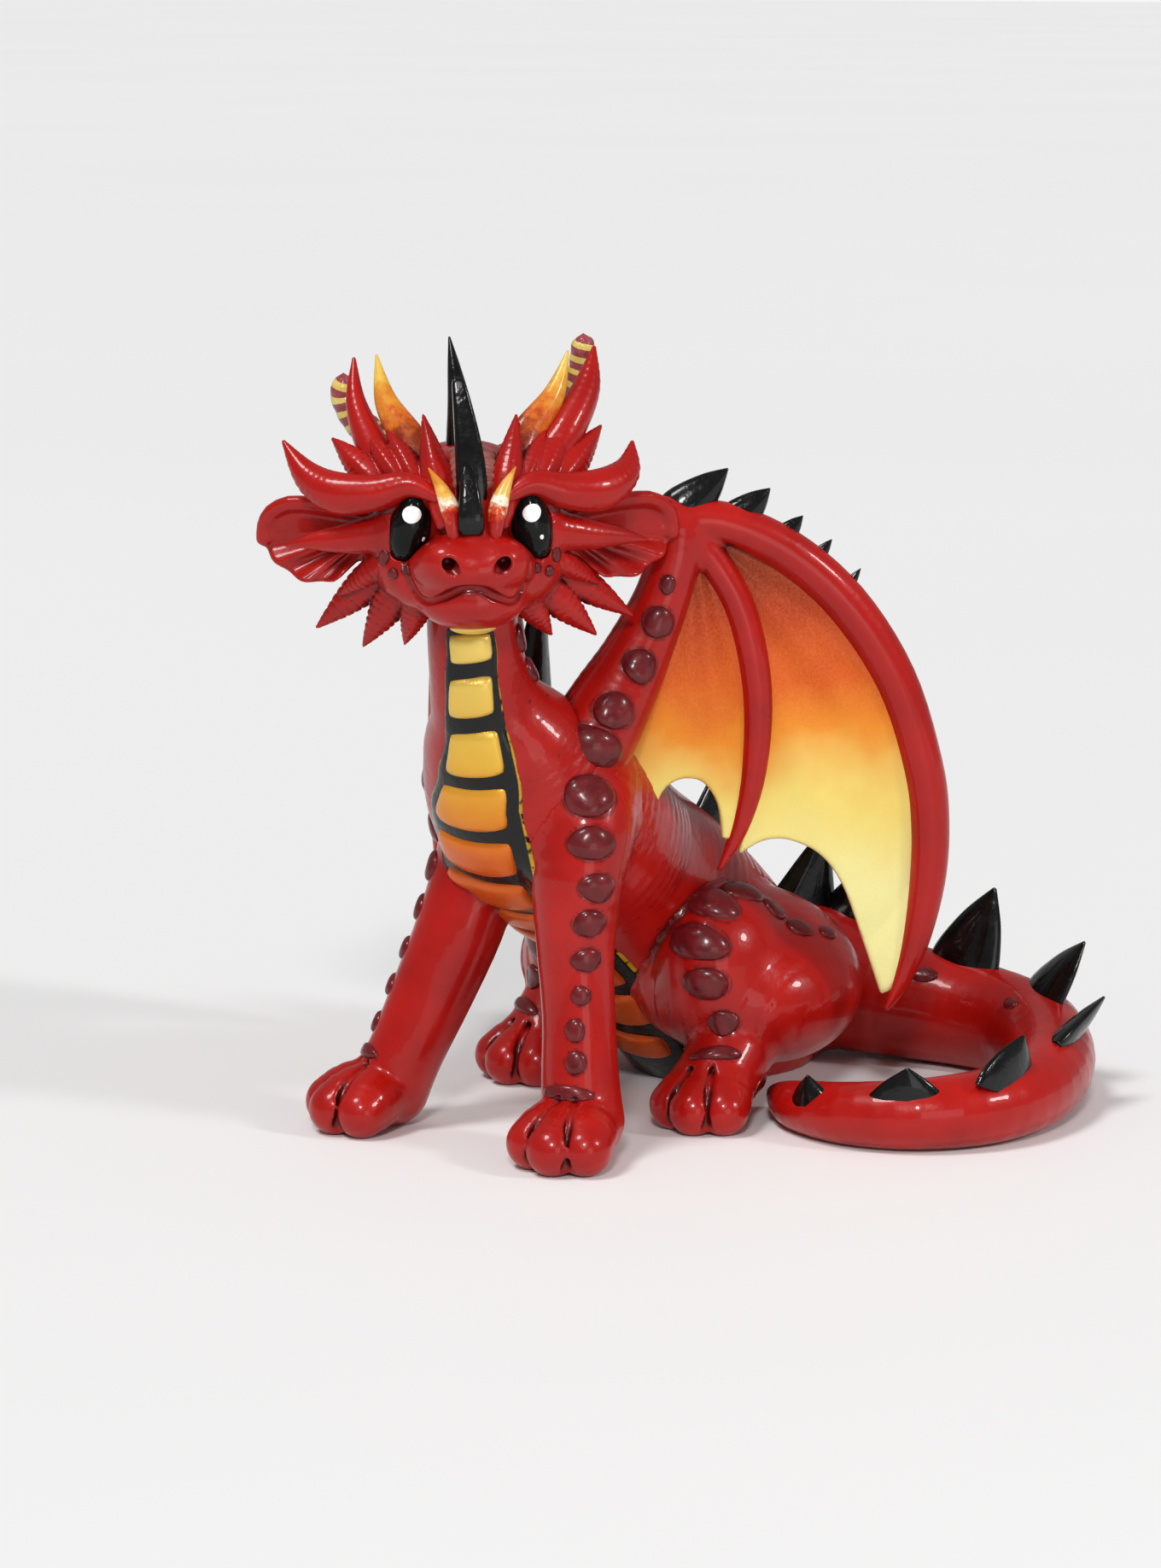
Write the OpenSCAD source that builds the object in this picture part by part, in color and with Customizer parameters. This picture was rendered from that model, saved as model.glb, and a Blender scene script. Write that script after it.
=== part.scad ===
// Seated dragon figurine, an assembly of glued resin pieces.
// The dragon faces -Y, its left is +X, and the ground it sits on is Z = 0.

/* [Body] */
// Height of the centre of the head above the ground
head_height = 66; // [64:0.5:68]
// Forward reach of the head from the middle of the seat
head_reach = 45.5; // [44.5:0.5:46.5]
// Turn of the head to the dragon's left, in degrees
head_turn = 42; // [30:1:50]
// Half width of the chest at the shoulders
chest_half_width = 11; // [10:0.5:12]
// Thickness of the belly band over the skin
band_relief = 0.7; // [0.5:0.1:1]

/* [Legs] */
// Sideways distance of each front paw from the middle
front_paw_spread = 12; // [11.5:0.5:13]
// Sideways distance of each hind paw from the middle
hind_paw_spread = 15; // [14:0.5:15.5]
// Width of a paw
paw_width = 13.5; // [12.5:0.5:14]

/* [Wings] */
// Angle between each wing and the long axis of the body
wing_spread = 46; // [43:1:48]
// Thickness of a wing membrane
membrane_thickness = 1.4; // [1:0.1:2]
// Diameter of the round tenon at each wing root
wing_tenon_diameter = 5; // [4:0.5:5.5]

/* [Head] */
// Diameter of the tenon that joins the head to the neck
neck_tenon_diameter = 5; // [4:0.5:5.5]
// Height of an eye
eye_height = 7; // [6:0.5:7.5]

/* [Hidden] */
sides = 16;
horn_sides = 10;
head_facets = 16;
hull_facets = 12;

red = [0.62, 0.13, 0.12];
maroon = [0.38, 0.10, 0.13];
black = [0.04, 0.04, 0.05];
gold = [0.85, 0.70, 0.33];
orange = [0.83, 0.45, 0.15];

// ---------- curves and sweeps ----------

// Point of a Catmull-Rom curve in span i, at t from 0 to 1
function curve_point(p, i, t) =
    let (last = len(p) - 1, a = p[max(i - 1, 0)], b = p[i], c = p[i + 1], d = p[min(i + 2, last)])
    0.5 * (2 * b + (c - a) * t + (2 * a - 5 * b + 4 * c - d) * t * t + (3 * b - a - 3 * c + d) * t * t * t);

// All points of a curve, with a number of steps in each span
function curve(p, steps) = [
    for (i = [0 : len(p) - 2]) for (k = [0 : steps - 1]) curve_point(p, i, k / steps),
    p[len(p) - 1]
];

function unit(v) = v / norm(v);
function place_of(p) = [p[0], p[1], p[2]];

// One ring of a sweep: an ellipse of half widths p[3] across and p[4] along the cut's other axis
function ring(p, forward, hint, n) =
    let (across = unit(cross(hint, forward)), other = unit(cross(forward, across)))
    [for (j = [0 : n - 1]) place_of(p) + across * p[3] * cos(360 * j / n) + other * p[4] * sin(360 * j / n)];

// A closed skin over rings with the same number of points, n
module skin(rings, n) {
    last = len(rings) - 1;
    polyhedron(
        points = [for (r = rings) each r],
        faces = concat(
            [[for (j = [0 : n - 1]) j]],
            [for (i = [0 : last - 1]) for (j = [0 : n - 1])
                [i * n + j, (i + 1) * n + j, (i + 1) * n + (j + 1) % n]],
            [for (i = [0 : last - 1]) for (j = [0 : n - 1])
                [i * n + j, (i + 1) * n + (j + 1) % n, i * n + (j + 1) % n]],
            [[for (j = [0 : n - 1]) last * n + n - 1 - j]]
        )
    );
}

// A sweep along points [x, y, z, half width, half depth]
module sweep(points, steps = 3, n = sides, hint = [1, 0, 0]) {
    p = curve(points, steps);
    last = len(p) - 1;
    rings = [for (i = [0 : last])
        ring(p[i], unit(place_of(p[min(i + 1, last)]) - place_of(p[max(i - 1, 0)])), hint, n)];
    skin(rings, n);
}

// A horn along points [x, y, z, half thickness]
module horn(points, hint = [0, 1, 0], n = horn_sides, flat = 1, steps = 3) {
    sweep([for (p = points) [p[0], p[1], p[2], p[3], p[3] * flat]], steps, n, hint);
}

// A straight spike, leaf shaped in the plane of its width and thin along a direction
module spike(base, tip, width, thickness, thin = [0, 1, 0], n = 8) {
    direction = tip - base;
    bend = [for (t = [0, 0.3, 0.65, 0.97]) base + direction * t];
    swell = [0.8, 1, 0.62, 0.1];
    sweep([for (i = [0 : 3]) [
        bend[i][0], bend[i][1], bend[i][2], width * swell[i] / 2, thickness * swell[i] / 2]], 1, n, thin);
}

// A low oval scale of half sizes a and b, facing outward along a direction and turned about it
module scale_at(at, outward, a, b, turn = 0, relief = 0.7) {
    yaw = atan2(outward[1], outward[0]);
    pitch = acos(outward[2] / norm(outward));
    translate(at) rotate([0, pitch, yaw]) rotate([0, 0, turn])
        hull() {
            oval(a, b, -0.9, 0.3);
            oval(a * 0.62, b * 0.62, 0, relief);
        }
}

// A flat oval of half sizes a and b between two heights
module oval(a, b, low, high, n = 12) {
    translate([0, 0, low])
        linear_extrude(high - low)
        polygon([for (i = [0 : n - 1]) [a * cos(360 * i / n), b * sin(360 * i / n)]]);
}

// Mirrors its child to the dragon's right
module to_side(side) {
    if (side > 0) children();
    else mirror([1, 0, 0]) children();
}

module ground_cut() {
    translate([-100, -100, -40]) cube([200, 200, 40]);
}

// ---------- torso ----------

// Spine points: place, half width across, half depth
spine = [
    [0, 6.5, 1, 7, 6],
    [0, 4, 6, 11.5, 12],
    [0, -2.2, 12, 12.2, 13],
    [0, -11, 20.5, 11.6, 11.8],
    [0, -20, 27, 10.8, 10.6],
    [0, -28, 32, 11, 10.4],
    [0, -34, 36.5, chest_half_width, 9.8],
    [0, -38.6, 41.8, chest_half_width - 1.4, 7.8],
    [0, -41.6, 46, 7.2, 6.2],
    [0, -43.8, 50, 5.7, 5.3],
    [0, -head_reach + 0.3, 55, 5, 5],
    [0, -head_reach, 59, 4.9, 4.9]
];
spine_steps = 3;
// Which way is across for a ring round the spine
spine_hint = [0, 1, 0];
torso_sides = 20;

module torso_shape() {
    difference() {
        sweep(spine, spine_steps, torso_sides, spine_hint);
        ground_cut();
    }
}

// Frame at a wing root: the wing's plane turned out from the body
wing_root = [5, -33, 0];
module wing_place() {
    translate(wing_root) rotate([0, 0, 90 - wing_spread]) children();
}
// How much thinner a tenon is than its socket
tenon_play = 0.1;
// The wing's tenon runs on down from the arm into the flank, leaning with the arm
tenon_reach = 4;
wing_lean = 22;
module wing_tenon(play = 0) {
    wing_place()
        translate([0.5, 0, 40.5])
        rotate([0, wing_lean, 0])
        translate([0, 0, -tenon_reach])
        cylinder(h = tenon_reach + 3, d = wing_tenon_diameter - play, $fn = 32);
}

// The head's tenon runs down into the neck
module neck_tenon(play = 0) {
    translate([0, -head_reach, 55.5 + play])
        cylinder(h = 7, d = neck_tenon_diameter - play, $fn = 32);
}

module torso() {
    color(red)
        difference() {
            torso_shape();
            wing_tenon();
            mirror([1, 0, 0]) wing_tenon();
            neck_tenon();
        }
}

// ---------- legs ----------

// Toes side by side, pointing forward: how many, the angle between them, length, radius
module toes(count, spread, length, radius) {
    for (i = [0 : count - 1]) {
        angle = (i - (count - 1) / 2) * spread;
        middle = 1 - 0.1 * abs(i - (count - 1) / 2);
        rotate([0, 0, angle]) {
            hull() {
                translate([0, -length * 0.1, radius * 1.3]) sphere(radius * 1.1, $fn = hull_facets);
                translate([0, -length * 0.62 * middle, radius * 1.15]) sphere(radius * 1.1, $fn = hull_facets);
            }
            hull() {
                translate([0, -length * 0.62 * middle, radius * 1.15]) sphere(radius * 1.1, $fn = hull_facets);
                translate([0, -length * middle, radius * 0.85]) sphere(radius * 0.9, $fn = hull_facets);
            }
            hull() {
                translate([0, 0, radius]) sphere(radius * 0.8, $fn = hull_facets);
                translate([0, -length * 0.5, radius * 0.9]) sphere(radius, $fn = hull_facets);
            }
        }
    }
}

// The leg's line: place, half width, half depth. It leaves the chest at one distance from the
// middle and ends at another
function foreleg_path(top, out, girth, back) = [
    [top - 1.6, -33.4 + back, 39, 4, 4.2],
    [top, -36.8 + back, 35.4, 5.4, 5.2],
    [top + 0.4, -39 + back, 29.6, 5, 4.9],
    [top + 0.2 * (out - top), -39.8 + 0.6 * back, 22, 4.2 * girth, 4.1 * girth],
    [top + 0.48 * (out - top), -40.6 + 0.3 * back, 15, 3.9 * girth, 3.9 * girth],
    [top + 0.74 * (out - top), -41.6, 8.5, 4.1, 4.2],
    [out, -42.6, 3.4, 4.4, 5]
];

module foreleg(top, out, girth, splay, back) {
    difference() {
        union() {
            sweep(foreleg_path(top, out, girth, back), 3, 16);
            translate([out, -42.4, 0]) rotate([0, 0, splay]) toes(3, 29, 7, paw_width * 0.23);
        }
        ground_cut();
        torso_shape();
    }
}

// Each foreleg: distance from the middle at the chest and at the paw, girth, turn of the paw,
// and how far back its shoulder sits
left_foreleg = [8.6, front_paw_spread, 1, 8, 0];
right_foreleg = [6.6, front_paw_spread + 1.8, 1.15, 20, 4.8];

module foreleg_left() {
    color(red)
        foreleg(left_foreleg[0], left_foreleg[1], left_foreleg[2], left_foreleg[3], left_foreleg[4]);
}
module foreleg_right() {
    color(red)
        mirror([1, 0, 0])
        foreleg(right_foreleg[0], right_foreleg[1], right_foreleg[2], right_foreleg[3], right_foreleg[4]);
}

// The thigh, swept from the hip outward: place, half length, half height
thigh = [
    [4, -6, 15.4, 9, 8],
    [9, -8.4, 15, 13, 10.4],
    [13, -9.6, 14.4, 13.4, 10.4],
    [16.4, -10.2, 13.8, 11, 8.8],
    [19, -10.6, 13, 6, 4.6]
];

// A hind leg, with its foot at a distance from the middle and the whole leg shifted in and back
module hind_leg(out, in, back) {
    difference() {
        translate([-in, back, 0]) {
            sweep(thigh, 3, 20, [0, 0, 1]);
            translate([12, -15.5, 16.5]) scale([7, 8.6, 8.6]) sphere(1, $fn = hull_facets);
            hull() {
                translate([out + in, -17, 8]) sphere(4.6, $fn = hull_facets);
                translate([out + in, -21.5, 4.6]) sphere(4.6, $fn = hull_facets);
            }
            translate([out + in, -20.4, 0]) rotate([0, 0, 8]) toes(3, 29, 6.8, paw_width * 0.22);
        }
        ground_cut();
        torso_shape();
    }
}

module hind_leg_left() {
    color(red) hind_leg(hind_paw_spread, 0, 0);
}
module hind_leg_right() {
    color(red) mirror([1, 0, 0]) hind_leg(hind_paw_spread - 2.5, 2.5, 6.5);
}

// ---------- tail ----------

tail_path = [
    [-1, 7, 10, 9, 9],
    [7, 12.5, 8.8, 8.2, 8.2],
    [16, 15, 7, 6.8, 6.8],
    [25, 16.5, 6.2, 6.2, 6.2],
    [34, 14.5, 5.6, 5.6, 5.6],
    [41, 7, 5, 5, 5],
    [44.8, -3, 4.4, 4.4, 4.4],
    [44, -12, 4.1, 4.1, 4.1],
    [39, -18.5, 3.8, 3.8, 3.8],
    [32, -21, 3.4, 3.4, 3.4],
    [25, -19.5, 2.8, 2.8, 2.8],
    [20.5, -15.5, 2, 2, 2],
    [19.2, -13.5, 1.2, 1.2, 1.2]
];

module tail() {
    color(red)
        difference() {
            sweep(tail_path, 3, 16, [0, 0, 1]);
            ground_cut();
            torso_shape();
            hind_leg_left();
        }
}

// ---------- head ----------

module head_place() {
    translate([-0.5, -head_reach - 0.3, head_height]) rotate([0, 0, head_turn]) children();
}

module ball(at, r, squash = [1, 1, 1]) {
    translate(at) scale(squash) sphere(r, $fn = head_facets);
}

module head_shape() {
    hull() {
        ball([0, 1, 3], 8.2, [1.08, 1, 0.9]);
        ball([0, -1, -1], 7.6, [1.12, 0.95, 0.8]);
    }
    for (side = [-1, 1]) {
        hull() {
            ball([side * 4.6, -3.6, -3.6], 4.2);
            ball([side * 2.2, -6.8, -4], 4);
        }
        hull() {
            ball([side * 6, 0, -2], 4.4);
            ball([side * 6.4, -2, 2], 3.6);
        }
        hull() {
            ball([side * 2.4, -8.4, -1.6], 2.6);
            ball([side * 2, -3, 1], 3);
        }
    }
    hull() {
        ball([0, -6, -5.4], 3.4);
        ball([0, -1, -4.4], 4.4);
    }
    hull() {
        ball([0, -7.8, -3], 3.6);
        ball([0, -3, -3], 4.6);
    }
}

module head() {
    color(red) {
        difference() {
            head_place() head_shape();
            torso_shape();
            head_place()
                for (side = [-1, 1])
                    ball([side * 2.8, -11, -1.5], 0.8);
        }
        neck_tenon(tenon_play);
    }
}

// ---------- pieces of the head, placed in the head's own frame: +X its left, -Y forward ----------

module head_piece(tint) {
    color(tint) head_place() children();
}

module eye(side) {
    head_piece(black)
        translate([side * 6.3, -5.3, 1.6])
        rotate([0, 0, side * 22])
        scale([0.56, 0.62, 1])
        sphere(d = eye_height, $fn = 24);
}
module eye_left() eye(1);
module eye_right() eye(-1);

module catchlight(side) {
    head_piece("white")
        translate([side * 6.3 + 0.2, -7.2, 3.1])
        rotate([90, 0, side * 14])
        cylinder(h = 0.8, d = 1.9, center = true, $fn = 24);
}
module catchlight_left() catchlight(1);
module catchlight_right() catchlight(-1);

module brow_horn(side, reach, rise) {
    head_piece(red)
        horn([
            [side * 6.5, -5.6, 5.2, 1.3],
            [side * 10, -5, 4.6, 1.9],
            [side * 14.2, -3.6, 4.9, 2.2],
            [side * 16.8, -2, 6.6, 1.6],
            [side * reach, 0, rise, 0.2]
        ]);
}
module brow_horn_left() brow_horn(1, 17.6, 9.8);
module brow_horn_right() brow_horn(-1, 19, 10.3);

// A fan of leaf-shaped spikes, each with its base, tip and width
module spike_fan(list, thickness) {
    for (s = list)
        spike(s[0], s[1], s[2], thickness);
}

module crest_left() {
    head_piece(red)
        spike_fan([
            [[3.6, -5.4, 5.4], [5.2, -1.5, 13.1], 2.8],
            [[5.4, -5, 5.8], [8.6, 0, 11.8], 2.6],
            [[7, -4.4, 6], [11, 1, 12.2], 3],
            [[9, -3.4, 5.6], [14.6, 2, 11.4], 3.2]
        ], 1.8);
}
module crest_right() {
    head_piece(red)
        spike_fan([
            [[-3.6, -5.4, 5.4], [-4.6, -1.5, 13.2], 2.8],
            [[-5.4, -5, 5.8], [-8.3, 0, 11.7], 2.6],
            [[-7, -4.4, 6], [-10.6, 1, 11.4], 3],
            [[-9, -3.4, 5.6], [-13.9, 2, 10.4], 3.2]
        ], 1.8);
}

module red_horn_left() {
    head_piece(red)
        horn([[7.6, -1, 6.5, 2.2], [10.6, 0.6, 11, 2.1], [13, 3, 15, 1.6], [14.1, 5, 19.2, 0.2]]);
}
module red_horn_right() {
    head_piece(red)
        horn([[-7.6, -1, 6, 2.2], [-10.4, 0.8, 10, 2.1], [-11.6, 3, 14, 1.6], [-11.2, 5, 18.4, 0.2]]);
}

module flame_horn_left() {
    head_piece(gold)
        horn([[4.6, -2.6, 7, 1.7], [6.6, -1, 10.6, 1.6], [9.4, 1, 14.6, 1.2], [11.2, 3, 19, 0.2]]);
}
module flame_horn_right() {
    head_piece(gold)
        horn([[-4.2, -2.6, 6.6, 1.7], [-5.8, -1.2, 10.2, 1.6], [-7.8, 1, 14, 1.2], [-9, 3, 18.8, 0.2]]);
}

module striped_horn(side, out, top) {
    head_piece(maroon)
        horn([
            [side * 4, 3, 7.5, 1.5],
            [side * 8, 5.6, 9.4, 1.6],
            [side * (out - 1.6), 6.8, 11.4, 1.5],
            [side * (out - 0.2), 7.2, (11.4 + top) / 2, 1.45],
            [side * out, 7, top, 1.25]
        ], [0, 1, 0]);
}
module striped_horn_left() striped_horn(1, 13.2, 20.4);
module striped_horn_right() striped_horn(-1, 12.2, 16.5);

module brow_flame(side) {
    head_piece(gold)
        sweep([
            [side * 2.4, -8.6, 1.2, 0.5, 0.9],
            [side * 2.5, -8.2, 3.6, 0.7, 1],
            [side * 3.4, -7.2, 5.8, 0.6, 0.8],
            [side * 4.5, -6.2, 7.6, 0.15, 0.15]
        ], 3, 8, [0, 1, 0]);
}
module brow_flame_left() brow_flame(1);
module brow_flame_right() brow_flame(-1);

// An ear, shorter by a length on one side
module ear(side, short) {
    head_piece(red)
        sweep([
            [side * 8, -0.6, 0.6, 1.5, 1.8],
            [side * 12, 0, 0.4, 1.2, 2.3],
            [side * (15.4 - 0.6 * short), 0.8, -0.6, 0.9, 3.9],
            [side * (18.6 - 0.8 * short), 1.8, -0.5, 0.8, 4.2],
            [side * (21 - short), 2.6, -0.6, 0.7, 3.1],
            [side * (22.4 - short), 3, -0.8, 0.3, 1]
        ], 2, 12, [0, 0, 1]);
}
module ear_left() ear(1, 0);
module ear_right() ear(-1, 1.4);

module ear_spine(side) {
    head_piece(red)
        horn([[side * 8, -3.4, 1, 2], [side * 12, -2.8, 0.4, 1.8], [side * 16, -1.6, 0, 1.1],
            [side * 19, -0.6, -0.5, 0.2]], [0, 0, 1]);
}
module ear_spine_left() ear_spine(1);
module ear_spine_right() ear_spine(-1);

module cheek_frill_left() {
    head_piece(red)
        spike_fan([
            [[7.6, -0.6, -2], [18.1, 2, -9.1], 4],
            [[6.6, -1.6, -3.6], [14, 1, -10.9], 4],
            [[5, -2.6, -4.6], [9, -0.6, -10.6], 3.4],
            [[8, -2.4, -1.4], [14, -0.6, -5.2], 2.6]
        ], 2);
}
module cheek_frill_right() {
    head_piece(red)
        spike_fan([
            [[-7.6, -0.6, -2], [-15.8, 2, -9.8], 4],
            [[-6.6, -1.6, -3.6], [-10.9, 1, -11.7], 4],
            [[-5, -2.6, -4.6], [-6.6, -0.6, -11.3], 3.4],
            [[-8, -2.4, -1.4], [-13.4, -0.4, -6], 2.6]
        ], 2);
}

module head_spikes() {
    head_piece(black) {
        spike([-0.4, -1.5, 7], [-1.3, 4.5, 21], 4.2, 3.4, [1, 0, 0], 10);
        spike([-0.2, -5, 5.5], [-1.3, -2.6, 17.6], 3.6, 3, [1, 0, 0], 10);
        spike([-0.5, -8.4, 1.6], [-0.6, -7.4, 7.8], 2.6, 2.1, [1, 0, 0], 8);
    }
}

module crown_patch() {
    head_piece([0.62, 0.36, 0.34])
        for (i = [0 : 4])
            translate([0.4, -6.9 + i * 0.55, 5.2 + i * 0.85])
                rotate([0, 90, 0])
                cylinder(h = 4.6, d = 1.5, center = true, $fn = 16);
}

module chin_plate() {
    head_piece(orange)
        hull() {
            ball([0, -6.4, -8.1], 1.2);
            ball([0, -4, -8.3], 1.2);
        }
}

module cheek_scales(side) {
    head_piece(maroon)
        for (s = [[8.9, -4.6, -1.4], [8, -5.6, -3], [6.9, -7, -2.5]])
            translate([side * s[0], s[1], s[2]])
                sphere(d = 1.3, $fn = 16);
}
module cheek_scales_left() cheek_scales(1);
module cheek_scales_right() cheek_scales(-1);

// ---------- belly ----------

// The belly line turns towards the dragon's left up the neck, and a little to its right below
function belly_turn(height) =
    34 * max(0, min(1, (height - 42) / 13)) - 7 * max(0, min(1, (44 - height) / 8));

// Points over the skin of the torso from one angle off the belly line to another
function belly_arc(p, forward, from, to, lift, n) =
    let (across = unit(cross(spine_hint, forward)), back = unit(cross(forward, across)))
    [for (k = [0 : n - 1])
        let (a = 270 + belly_turn(p[2]) + from + (to - from) * k / (n - 1))
        place_of(p) + across * (p[3] + lift) * cos(a) + back * (p[4] + lift) * sin(a)];

spine_curve = curve(spine, spine_steps);
spine_last = len(spine_curve) - 1;

// A point of the spine between samples, and the spine's direction there
function spine_at(s) =
    let (i = floor(s), here = spine_curve[i], next = spine_curve[min(i + 1, spine_last)])
    here + (next - here) * (s - i);
function spine_way(s) = unit(place_of(spine_at(s + 0.5)) - place_of(spine_at(s - 0.5)));

// Triangles that close one end of a patch, as a strip between its outer arc and its inner arc
function strip_cap(start, n) = [
    for (j = [0 : n - 2]) each [
        [start + j, start + j + 1, start + 2 * n - 2 - j],
        [start + j, start + 2 * n - 2 - j, start + 2 * n - 1 - j]
    ]
];
function turned_over(faces) = [for (f = faces) [f[2], f[1], f[0]]];

// A patch of even thickness laid on the belly, between two places along the spine
module belly_patch(start, end, half_angle, sunk, lift, pieces = 6, n = 7) {
    round = 2 * n;
    points = [for (i = [0 : pieces])
        let (s = start + (end - start) * i / pieces, p = spine_at(s), way = spine_way(s))
        each concat(
            belly_arc(p, way, -half_angle, half_angle, lift, n),
            belly_arc(p, way, half_angle, -half_angle, -sunk, n)
        )];
    walls = [for (i = [0 : pieces - 1]) for (j = [0 : round - 1])
        let (a = i * round + j, b = i * round + (j + 1) % round)
        each [[a, a + round, b + round], [a, b + round, b]]];
    polyhedron(points = points, faces = concat(
        strip_cap(0, n), walls, turned_over(strip_cap(pieces * round, n))));
}

belly_half_angle = 38;
band_start = 4;
band_end = 32;

module belly_band() {
    color(black)
        difference() {
            belly_patch(band_start, band_end, belly_half_angle, 0.8, band_relief * 0.6, 28, 5);
            ground_cut();
        }
}

// Where each plate starts and ends along the spine, from the pelvis up
plate_spans = [
    [6.3, 7.3], [7.7, 9.4], [9.9, 12], [12.4, 14.4], [14.9, 16.2], [16.5, 18], [18.3, 19.9],
    [20.3, 22.6], [23.1, 25.9], [26.6, 28.8], [29.5, 31.2]
];
module belly_plates() {
    color(gold)
        for (s = plate_spans)
            belly_patch(s[0], s[1], belly_half_angle * 0.66, 0.2 - band_relief * 0.6, band_relief * 1.5, 2, 5);
}

// ---------- scales on the body ----------

neck_scale_list = [[4.5, -42.6, 55.4, 1.6, 1.2], [4.7, -41.2, 51.8, 1.5, 1.1]];
module neck_scales() {
    color(maroon)
        for (side = [-1, 1])
            for (s = neck_scale_list)
                to_side(side) scale_at([s[0], s[1], s[2]], [0.85, 0.5, 0.1], s[3], s[4]);
}

// Scales down the outer front of a foreleg: place along the leg's curve, half length, half width
foreleg_scale_list = [
    [2.2, 2.9, 2.6], [5, 2.5, 2], [7, 2.1, 1.7], [8.9, 1.9, 1.5], [10.4, 1.7, 1.3], [11.8, 1, 1],
    [13.2, 1.2, 1.1], [14.8, 1.3, 1.1]
];
foreleg_out = [0.72, -0.69, 0.1];
module foreleg_scales(side, leg) {
    path = curve(foreleg_path(leg[0], leg[1], leg[2], leg[4]), 3);
    color(maroon)
        to_side(side)
            for (s = foreleg_scale_list)
                let (p = path[round(s[0])])
                scale_at(place_of(p) + foreleg_out * p[3], foreleg_out, s[1], s[2], 0);
}
module foreleg_scales_left() foreleg_scales(1, left_foreleg);
module foreleg_scales_right() foreleg_scales(-1, right_foreleg);

// Scales over a thigh: place, way out, half length, half width, turn
hind_scale_list = [
    [12.8, -19.3, 24.2, 1.2, 2.2, 3.6, 20], [14.2, -14.9, 24.7, 1.6, 1.8, 2.6, 40],
    [17.3, -12.2, 23.6, 1.4, 1.3, 1.7, 40], [20.4, -10.6, 21.8, 1, 1.1, 1.7, 40],
    [21.4, -6.6, 20, 0.8, 1, 1.3, 20], [13.6, -22.9, 20.3, 0.4, 2.1, 3.3, 8],
    [15, -23.3, 15.8, 0, 1.8, 2.5, 0], [16.3, -21.7, 11.4, 0, 1.3, 1.7, 0],
    [16.2, -24, 8, 0.6, 1, 2.7, 0]
];
module hind_scales(side, in, back) {
    color(maroon)
        to_side(side)
            for (s = hind_scale_list)
                scale_at([s[0] - in, s[1] + back, s[2]], [1, -0.5, s[3]], s[4], s[5], s[6]);
}
module hind_scales_left() hind_scales(1, 0, 0);
module hind_scales_right() hind_scales(-1, 2.5, 6.5);

module tail_scales() {
    color(maroon)
        for (place = [[12, 8.4, 11], [22, 11, 10.4], [34, 10, 9]])
            scale_at(place, [0.2, -0.8, 0.6], 1.5, 1);
}

// A broad fin that narrows in a hollow curve to its tip, thin along one direction
module fin(base, tip, width, thickness, thin) {
    direction = tip - base;
    profile = [[-0.06, 1.05, 1], [0.3, 0.76, 0.9], [0.6, 0.48, 0.65], [0.97, 0.06, 0.12]];
    sweep([for (p = profile) let (at = base + direction * p[0])
        [at[0], at[1], at[2], width * p[1] / 2, thickness * p[2] / 2]], 1, 8, thin);
}

module back_spikes() {
    color(black) {
        fin([0, -35.5, 44], [0, -33, 61], 9, 2.8, [1, 0, 0]);
        fin([0, -25, 38], [0, -20.7, 50.5], 10, 2.8, [1, 0, 0]);
        fin([0, -13.5, 32], [0, -9, 43], 10, 2.8, [1, 0, 0]);
        fin([0, 1.2, 25], [0, 7.6, 40], 14, 3, [1, 0, 0]);
        fin([4.6, 12, 15], [6.8, 14.4, 26.6], 10, 3, [1, -0.6, 0]);
    }
}

// Each spike along the tail: base, tip, length of the base, heading of the tail there in degrees
tail_spike_list = [
    [[10, 14.5, 15], [14, 18.5, 24.5], 8, 15],
    [[24.4, 16, 11.4], [27.4, 18, 21], 8.4, 5],
    [[36, 13.6, 9.6], [41, 14.6, 17], 7.4, -35],
    [[44, 2.5, 7.4], [46.4, 9.4, 12.4], 6, -75],
    [[45.6, -11.4, 6], [46.5, -9, 11.7], 9, -95],
    [[38.8, -20.4, 4.8], [39.3, -21.2, 9.5], 6.5, -150],
    [[28.2, -22.2, 3.8], [27.8, -22.8, 7.4], 4, 175]
];
module tail_spikes() {
    color(black)
        for (s = tail_spike_list)
            fin(s[0], s[1], s[2], 2.8, [-sin(s[3]), cos(s[3]), 0]);
}

// ---------- wings, drawn in the wing's own plane as [along, height] ----------

// The arm also swells outward at its root: along, outward, height, radius
arm_line = [
    [-0.6, 2.2, 40.8, 3.2], [0.6, 2.4, 43.2, 4.8], [3, 1.2, 47, 4.5], [6, 0.2, 52, 3.7],
    [9, 0, 58.5, 3], [10.5, 0, 64.5, 2.9], [9.5, 0, 68, 1.6]
];
first_finger = [
    [9.5, 67, 2.1], [15.5, 66.3, 2.2], [22.5, 63, 2.4], [29, 57.2, 2.5], [34.4, 49, 2.4], [37.6, 39.5, 2.3],
    [38.6, 33, 2.2], [38.4, 26.5, 2], [37.1, 19.5, 1.5], [35.4, 14.8, 0.9], [34, 12, 0.2]
];
second_finger = [
    [11, 65.5, 2.1], [14.4, 62.2, 1.8], [17.5, 56.5, 1.8], [19.3, 48, 1.75], [19, 39.5, 1.5], [17.5, 33, 1],
    [15.3, 28.2, 0.2]
];

module finger(line, n) {
    sweep([for (p = line) [p[0], 0, p[1], p[2], p[2]]], 2, n, [0, 1, 0]);
}
module arm() {
    sweep([for (p = arm_line) [p[0], -p[1], p[2], p[3], p[3]]], 2, 12, [0, 1, 0]);
}

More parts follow.
